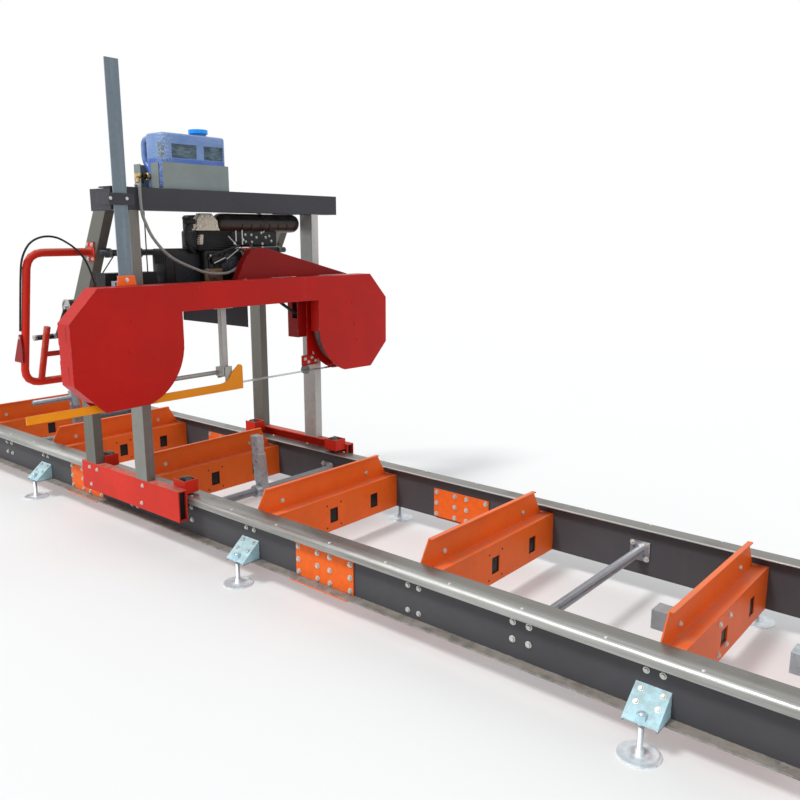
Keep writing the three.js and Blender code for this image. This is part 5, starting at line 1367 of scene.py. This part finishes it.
class SAWMILL_OT_head(bpy.types.Operator):
    """Finishes the saw head: frame, covers, wheels, belt and mast, with rivets and bolts"""

    bl_idname = "sawmill.head"
    bl_label = "Saw head"

    guard_plate = ((-0.1632, 0.317, 0.812), (-0.1612, 0.45, 0.985))
    cover_rivets = ((0.587, 0.955), (0.604, 0.845), (0.617, 0.772))
    rivet_rise = 0.55
    slot_x = -0.042
    slot_half = 0.003
    slot_depths = (0.0012, 0.0004)
    slot_spans = ((0.899, 0.955), (0.757, 0.814))
    hinge_heights = (0.80, 0.915)
    hinge_knuckles = ((-0.03, -0.0105), (-0.0095, 0.0095), (0.0105, 0.03))
    hinge_radius = 0.0055
    hinge_offset = (0.0035, 0.006)
    guide_face = -0.0885
    guide_bolts = ((0.345, 0.7), (0.366, 0.684), (0.388, 0.702), (0.411, 0.686))
    mast_bolts = ((-0.5625, 1.104),)

    def execute(self, context):
        sizes, _ = settings()
        finish_nodes("head", "head_frame")
        # The belt guard takes the darker red, a painted shade.
        finish_nodes("dark_red", "belt_guard")
        finish_nodes("beam", "sawdust_deflector")
        finish_nodes("mast", "mast")
        finish_nodes("red", "left_cover", "right_cover")
        # A plate behind the belt guard in the darker red, a painted shade.
        make_piece("guard_back_plate", [block(*self.guard_plate, 0.0008)], "dark_red", "head")
        smoothed("near_band_wheel", "iron", "near_band_wheel")
        smoothed("far_band_wheel", "iron", "far_band_wheel")
        smoothed("engine_pulley", "steel", "engine_pulley")
        smoothed("drive_belt", "rubber", "head")
        dome = dome_shape(sizes.rivet_radius, sizes.rivet_radius * self.rivet_rise)
        for name, side in (("left_cover", -1.0), ("right_cover", 1.0)):
            rivets = on_front(dome, [(side * s, z) for s, z in self.cover_rivets], HEAD_FACE)
            make_piece(name + "_rivets", [rivets], "red", name)
            self.make_cover_details(name, side)
        guide = on_front(bolt_shape(sizes, 0.75, 0.006), self.guide_bolts, self.guide_face)
        bolted("fixed_guide_bolts", [guide], "head")
        clamp = on_front(bolt_shape(sizes, 0.8), self.mast_bolts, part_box("mast")[1].x)
        bolted("mast_bolts", [clamp], "head")
        return {"FINISHED"}

    def make_cover_details(self, name, side):
        """Latch slots on the cover's outer wall, drawn in the darker red as painted shade, and hinge
        barrels along its back edge.
        """
        low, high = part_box(name)
        wall = (low.y if side < 0 else high.y) - CENTRE_Y
        first, last = self.slot_x - self.slot_half, self.slot_x + self.slot_half
        into, out = self.slot_depths
        slots = [block((first, wall - side * into, bottom), (last, wall + side * out, top), 0.0007)
                 for bottom, top in self.slot_spans]
        make_piece(name + "_slots", slots, "dark_red", name)
        behind, inward = self.hinge_offset
        barrels = []
        for z in self.hinge_heights:
            for start, end in self.hinge_knuckles:
                radius, narrow = self.hinge_radius, self.hinge_radius - 0.001
                profile = [(narrow, start), (radius, start + 0.001), (radius, end - 0.001), (narrow, end)]
                barrels.append(turned(profile, 16, spot(low.x - behind, wall - side * inward, z), "z"))
        make_piece(name + "_hinges", barrels, "red", name, 40)


class SAWMILL_OT_blade(bpy.types.Operator):
    """Makes the toothed blade and finishes its guide and guard"""

    bl_idname = "sawmill.blade"
    bl_label = "Blade and guide"

    band_thickness = 0.0012
    points_per_tooth = 5
    tooth_back = 0.7
    tooth_curve = 1.6
    bar_x = -0.0885
    bar_z = 0.702
    bar_profile = ((0.0082, -0.378), (0.009, -0.377), (0.009, -0.124), (0.0082, -0.123))

    def execute(self, context):
        sizes, _ = settings()
        low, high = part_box("saw_blade")
        half = self.band_thickness / 2
        straight = 2 * WHEEL_SPREAD
        radius = (high.z - low.z) / 2 - half
        loop = 2 * straight + FULL_TURN * radius
        teeth = int(round(loop / sizes.tooth_pitch))
        travelled = np.linspace(0, loop, teeth * self.points_per_tooth, endpoint=False)
        points, outward = self.loop_points(travelled, straight, radius)
        share = np.mod(travelled * teeth / loop, 1.0)
        rise = np.where(share < self.tooth_back, (share / self.tooth_back) ** self.tooth_curve,
                        1 - (share - self.tooth_back) / (1 - self.tooth_back))
        front = high.x - sizes.tooth_depth * (1 - rise)
        back = np.full(len(front), low.x)
        middle = (low.z + high.z) / 2
        corners = []
        for x, offset in ((back, half), (front, half), (front, -half), (back, -half)):
            flat = points + outward * offset
            corners.append(np.stack([x, across(flat[:, 0]), middle + flat[:, 1]], -1))
        rings = np.stack(corners, 1)
        loop_skin = skin(np.concatenate([rings, rings[:1]]), closed=False)
        band = make_piece("toothed_blade", [loop_skin], "steel", "head", 50)
        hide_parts("saw_blade")
        self.make_hanger()
        smoothed("blade_guard", "yellow", "guide", 25)
        return {"FINISHED"}

    def make_hanger(self):
        """The guide's hanger: a slim square bar under a flat plate, a round bar across, and a foot of
        two plates with a bearing; each is a rounded box or a turned profile."""
        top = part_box("guide_arm")[1].z
        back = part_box("blade_guard")[0].x - 0.0005
        post = ((-0.073, -0.1565, 0.712), (-0.047, -0.1305, top - 0.001))
        plate = ((-0.1, -0.189, top - 0.005), (-0.041, -0.098, top))
        foot = ((-0.0975, -0.16, 0.687), (-0.047, -0.127, 0.726))
        guard_plate = ((back - 0.006, -0.153, 0.668), (back, -0.117, 0.73))
        bearing = ((-0.1, -0.151, 0.676), (-0.094, -0.125, 0.702))
        shapes = [block(*corners, 0.0025) for corners in (post, plate, foot, guard_plate, bearing)]
        shapes.append(turned(self.bar_profile, 24, spot(self.bar_x, 0.0, self.bar_z), "y"))
        hanger = make_piece("guide_hanger", shapes, "guide", "guide", 35)
        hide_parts("guide_arm")

    def loop_points(self, travelled, straight, radius):
        """Points of a loop of two straight runs and two half circles, at a distance travelled along it,
        and the outward direction at each: top run, right half, bottom run, left half."""
        half_turn = math.pi * radius
        ends = np.cumsum([straight, half_turn, straight, half_turn])
        leg = np.searchsorted(ends, travelled, side="right")
        into = travelled - np.concatenate([[0.0], ends])[leg]
        sine, cosine, none = np.sin(into / radius), np.cos(into / radius), 0 * into
        y = np.choose(leg, [into - straight / 2, straight / 2 + radius * sine,
                            straight / 2 - into, -straight / 2 - radius * sine])
        z = np.choose(leg, [radius + none, radius * cosine, -radius + none, -radius * cosine])
        outward_y = np.choose(leg, [none, sine, none, -sine])
        outward_z = np.choose(leg, [1 + none, cosine, -1 + none, -cosine])
        return np.stack([y, z], -1), np.stack([outward_y, outward_z], -1)


class SAWMILL_OT_engine(bpy.types.Operator):
    """Makes the engine with its fins, covers, silencer, air box and starter"""

    bl_idname = "sawmill.engine"
    bl_label = "Engine"

    blocks = (
        ((-0.326, -0.118, 1.0643), (-0.19, 0.093, 1.206), 0.014, 5),
        ((-0.318, -0.143, 1.2), (-0.196, 0.03, 1.286), 0.01, 4),
        ((-0.312, -0.14, 1.278), (-0.222, -0.04, 1.349), 0.012, 4),
    )
    fin_outer = ((-0.3, -0.147), (-0.188, 0.04))
    fin_levels = (1.209, 1.279)
    fin_count = 9
    fin_half = 0.0015
    rib_span = (-0.1, 0.075)
    rib_count = 7
    rib_half = 0.0025
    rib_corners = ((-0.192, 1.075), (-0.184, 1.195))
    cover_outline = ((-0.153, 1.284), (-0.153, 1.291), (-0.145, 1.296), (-0.146, 1.332), (-0.128, 1.3555),
                     (-0.07, 1.3555), (-0.04, 1.326), (-0.036, 1.296), (-0.03, 1.291), (-0.03, 1.284))
    cover_span = (-0.224, -0.194)
    cover_screws = ((-0.134, 1.305), (-0.05, 1.305), (-0.12, 1.344), (-0.072, 1.344))
    silencer_place = (-0.226, 1.3175)
    silencer_radius = 0.041
    silencer_span = (-0.034, 0.433)
    silencer_rings = 40
    first_ring = 0.04
    dome_power = 24
    silencer_band = ((0.0008, 0.205), (0.0022, 0.207), (0.0022, 0.215), (0.0008, 0.217))
    louvre_span = (0.085, 0.395)
    louvre_count = 7
    louvre_dip = -24
    louvre_half = np.array([0.0022, 0.013, 0.0015])
    shelf = ((-0.3, 0.028, 1.214), (-0.205, 0.3, 1.292))
    shelf_bolts = ((0.113, 1.268), (0.147, 1.267), (0.115, 1.238), (0.149, 1.236), (0.176, 1.256),
                   (0.204, 1.276), (0.216, 1.282), (0.228, 1.256), (0.209, 1.228), (0.25, 1.262),
                   (0.262, 1.24))
    air_box = ((-0.33, -0.282, 1.0645), (-0.232, -0.084, 1.2118))
    vent_levels = (1.15, 1.19)
    vent_count = 6
    vent_width = 0.004
    vent_margin = 0.02
    vent_depths = (0.002, 0.004)
    air_plate = ((-0.244, 1.186), (-0.24, 1.12), (-0.236, 1.066), (-0.084, 1.066), (-0.084, 1.186))
    air_plate_faces = (-0.001, 0.003)
    choke_line = ((-0.086, 1.165), (-0.15, 1.125), (-0.235, 1.068))
    choke_ahead = 0.006
    choke_bend = 0.02
    choke_radius = 0.0022
    starter_place = (0.006, 1.144)
    starter_face = -0.188
    dish_profile = ((0.046, 0.0), (0.046, 0.006), (0.04, 0.012), (0.03, 0.014), (0.028, 0.02),
                    (0.012, 0.021), (0.01, 0.024), (0.006, 0.0245))
    starter_vent_count = 16
    starter_vent_ring = 0.037
    starter_vent_x = -0.177
    starter_vent_half = np.array([0.003, 0.0015, 0.006])
    casting = ((-0.2, -0.12, 1.072), (-0.178, -0.035, 1.128))
    plug_place = (-0.182, -0.088, 1.1)
    plug_profile = ((0.02, 0.0), (0.02, 0.012), (0.013, 0.016), (0.011, 0.022), (0.005, 0.023))
    rods = (
        ((-0.17, -0.088, 1.15), (-0.17, -0.028, 1.172)), ((-0.172, -0.02, 1.165), (-0.172, 0.045, 1.205)),
        ((-0.172, 0.06, 1.2), (-0.172, 0.085, 1.13)), ((-0.176, 0.038, 1.24), (-0.176, 0.038, 1.285)),
        ((-0.176, 0.072, 1.225), (-0.176, 0.072, 1.288)), ((-0.174, -0.005, 1.262), (-0.174, 0.052, 1.21)),
    )
    rod_radius = 0.0032
    pump = ((-0.196, -0.092, 1.148), (-0.174, -0.02, 1.176))
    engine_bolts = ((0.028, 1.232), (0.075, 1.246), (0.02, 1.116), (0.05, 1.095), (-0.1, 1.18))
    engine_bolt_face = -0.174
    inlet_route = ((-0.215, -0.172, 1.312), (-0.212, -0.187, 1.285), (-0.212, -0.188, 1.24),
                   (-0.22, -0.165, 1.207), (-0.224, -0.148, 1.2))
    inlet_bend = 0.014
    inlet_radius = 0.0105
    plug_cap = ((-0.225, -0.196, 1.311), (-0.195, -0.15, 1.333))
    plug_lead = ((-0.21, -0.205, 1.336), (-0.21, -0.185, 1.33), (-0.21, -0.16, 1.343))
    plug_lead_bend = 0.006
    plug_lead_radius = 0.004
    manifold_outline = ((-0.146, 1.226), (-0.14, 1.27), (-0.122, 1.27), (-0.128, 1.226))
    manifold_span = (-0.205, -0.182)
    fuel_route = ((-0.178, -0.112, 1.166), (-0.17, -0.095, 1.184), (-0.166, -0.02, 1.205),
                  (-0.172, 0.05, 1.222))
    orange_route = ((-0.17, 0.06, 1.215), (-0.168, 0.085, 1.2), (-0.172, 0.12, 1.222))
    blue_route = ((-0.171, 0.098, 1.238), (-0.168, 0.112, 1.215), (-0.172, 0.14, 1.208))
    hoses = (
        ("fuel_pipe", fuel_route, 0.02, 0.0048, 12, "cable"),
        ("orange_lead", orange_route, 0.01, 0.0026, 8, "orange"),
        ("blue_lead", blue_route, 0.01, 0.0026, 8, "slate"),
    )

    def execute(self, context):
        sizes, _ = settings()
        shapes = [block(*corners) for corners in self.blocks]
        (x0, s0), (x1, s1) = self.fin_outer
        half = self.fin_half
        shapes += [block((x0, s0, z - half), (x1, s1, z + half), 0.001)
                   for z in np.linspace(*self.fin_levels, self.fin_count)]
        (x0, bottom), (x1, top) = self.rib_corners
        half = self.rib_half
        shapes += [block((x0, s - half, bottom), (x1, s + half, top), 0.002)
                   for s in np.linspace(*self.rib_span, self.rib_count)]
        body = make_piece("engine_block", shapes, "engine", "head")
        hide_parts("engine")
        self.make_head_cover(sizes)
        self.make_silencer(sizes)
        self.make_air_box()
        self.make_starter(sizes)
        self.make_intake()
        return {"FINISHED"}

    def make_head_cover(self, sizes):
        """An alloy cover, an outline with a flange carried along x, with four screws."""
        cover = prism(self.cover_outline, *self.cover_span)
        bevelled(make_piece("valve_cover", [cover], "alloy", "head"), 0.003, 3)
        screws = on_front(bolt_shape(sizes, 0.55), self.cover_screws, self.cover_span[1])
        bolted("valve_cover_screws", [screws], "head")

    def make_silencer(self, sizes):
        """A long drum with domed ends: along y its radius is R (1 - |2t - 1|^24)^(1/2) for t from 0 to 1,
        with a seam band, a row of louvres and a shelf of bolts below it."""
        x, z = self.silencer_place
        radius = self.silencer_radius
        start, end = self.silencer_span
        turn = np.linspace(self.first_ring, math.pi - self.first_ring, self.silencer_rings)
        t = (1 - np.cos(turn)) / 2
        swell = radius * np.sqrt(1 - np.abs(2 * t - 1) ** self.dome_power)
        drum = turned(np.stack([swell, start + t * (end - start)], -1), 40, spot(x, 0.0, z), "y")
        band = turned([(radius + out, s) for out, s in self.silencer_band], 40, spot(x, 0.0, z), "y")
        make_piece("silencer", [drum, band], "silencer", "head", 40)
        dip = math.radians(self.louvre_dip)
        way = Vector((math.cos(dip), 0, math.sin(dip)))
        slot = box_shape(-self.louvre_half, self.louvre_half, 0.001)
        places = [spot(x + way.x * radius, s, z + way.z * radius)
                  for s in np.linspace(*self.louvre_span, self.louvre_count)]
        make_piece("silencer_louvres", [repeated(slot, places, way)], "engine", "head")
        make_piece("silencer_shelf", [block(*self.shelf, 0.012, 4)], "engine", "head")
        bolts = on_front(bolt_shape(sizes, 0.55, 0.004), self.shelf_bolts, self.shelf[1][0])
        bolted("silencer_bolts", [bolts], "head")

    def make_air_box(self):
        """A front plate in slate darkened to half as painted shade, with a slanting left edge, before a box
        with vents in the engine's black, which also stands for the shade on its side face.
        """
        (x0, s0, _), (x1, _, _) = self.air_box
        bottom, top = self.vent_levels
        out, into = self.vent_depths
        vents = [block((x, s0 - out, bottom), (x + self.vent_width, s0 + into, top), 0.0015)
                 for x in np.linspace(x0 + self.vent_margin, x1 - self.vent_margin, self.vent_count)]
        # The box is in the engine's black, which also stands for the shade on its side face.
        make_piece("air_box", [block(*self.air_box, 0.008, 4), *vents], "engine", "head")
        plate = prism(self.air_plate, *(x1 + face for face in self.air_plate_faces))
        bevelled(make_piece("air_box_plate", [plate], "plate", "head", 20), 0.0012, 2)
        wire = bent([(x1 + self.choke_ahead, s, z) for s, z in self.choke_line], self.choke_bend)
        make_piece("choke_wire", [tube_shape(wire, self.choke_radius, 8)], "cable", "head", 60)

    def make_starter(self, sizes):
        """The starter: a stepped dish with vents round it, before bare castings and a fuel pump."""
        s, z = self.starter_place
        dish = turned(self.dish_profile, 36, spot(self.starter_face, s, z), "x")
        make_piece("starter_dish", [dish], "slate", "head", 30)
        angles = np.linspace(0, FULL_TURN, self.starter_vent_count, endpoint=False)
        ring_y = across(s) + self.starter_vent_ring * np.cos(angles)
        ring_z = z + self.starter_vent_ring * np.sin(angles)
        places = np.stack([self.starter_vent_x + 0 * angles, ring_y, ring_z], -1)
        vent = box_shape(-self.starter_vent_half, self.starter_vent_half, 0.001)
        make_piece("starter_vents", [repeated(vent, places, (0, 0, 1))], "engine", "head")
        plug = turned(self.plug_profile, 24, spot(*self.plug_place), "x")
        castings = [block(*self.casting, 0.006, 4), plug]
        make_piece("bare_castings", castings, "bronze", "head", 30)
        rods = [tube_shape(np.linspace(spot(*start), spot(*end), 3), self.rod_radius, 10)
                for start, end in self.rods]
        make_piece("linkage_rods", rods, "steel", "head", 50)
        make_piece("fuel_pump", [block(*self.pump, 0.005, 4)], "engine", "head")
        bolts = on_front(bolt_shape(sizes, 0.6), self.engine_bolts, self.engine_bolt_face)
        bolted("engine_bolts", [bolts], "head")

    def make_intake(self):
        """The curved inlet pipe, the plug cap and its lead, the alloy manifold, the fuel pipe and two thin
        leads."""
        pipe = tube_shape(bent(self.inlet_route, self.inlet_bend), self.inlet_radius, 16)
        make_piece("inlet_pipe", [pipe], "rubber", "head", 60)
        lead = tube_shape(bent(self.plug_lead, self.plug_lead_bend), self.plug_lead_radius, 10)
        make_piece("plug_cap", [block(*self.plug_cap, 0.006, 4), lead], "rubber", "head")
        ring = prism(self.manifold_outline, *self.manifold_span)
        bevelled(make_piece("manifold", [ring], "alloy", "head"), 0.005, 3)
        for name, points, bend, radius, sides, look in self.hoses:
            make_piece(name, [tube_shape(bent(points, bend), radius, sides)], look, "head", 60)


class SAWMILL_PT_panel(bpy.types.Panel):
    """Lists the pieces of the sawmill in the sidebar"""

    bl_idname = "SAWMILL_PT_panel"
    bl_label = "Sawmill"
    bl_space_type = "VIEW_3D"
    bl_region_type = "UI"
    bl_category = "Sawmill"

    def draw(self, context):
        for operator in OPERATORS:
            self.layout.operator(operator.bl_idname)
        for group in settings():
            box = self.layout.box()
            for name in group.__annotations__:
                box.prop(group, name)


OPERATORS = (
    SAWMILL_OT_stage,
    SAWMILL_OT_cords,
    SAWMILL_OT_track,
    SAWMILL_OT_bunks,
    SAWMILL_OT_feet,
    SAWMILL_OT_carriage,
    SAWMILL_OT_controls,
    SAWMILL_OT_tank,
    SAWMILL_OT_head,
    SAWMILL_OT_blade,
    SAWMILL_OT_engine,
)
CLASSES = (SawmillSizes, SawmillColours, *OPERATORS, SAWMILL_PT_panel)


def register():
    for each in CLASSES:
        bpy.utils.register_class(each)
    bpy.types.Scene.sawmill_sizes = bpy.props.PointerProperty(type=SawmillSizes)
    bpy.types.Scene.sawmill_colours = bpy.props.PointerProperty(type=SawmillColours)


def unregister():
    del bpy.types.Scene.sawmill_colours
    del bpy.types.Scene.sawmill_sizes
    for each in reversed(CLASSES):
        bpy.utils.unregister_class(each)


def main():
    register()
    prepare_finishes(*settings())
    for operator in OPERATORS:
        group, name = operator.bl_idname.split(".")
        getattr(getattr(bpy.ops, group), name)()


if __name__ == "__main__":
    main()
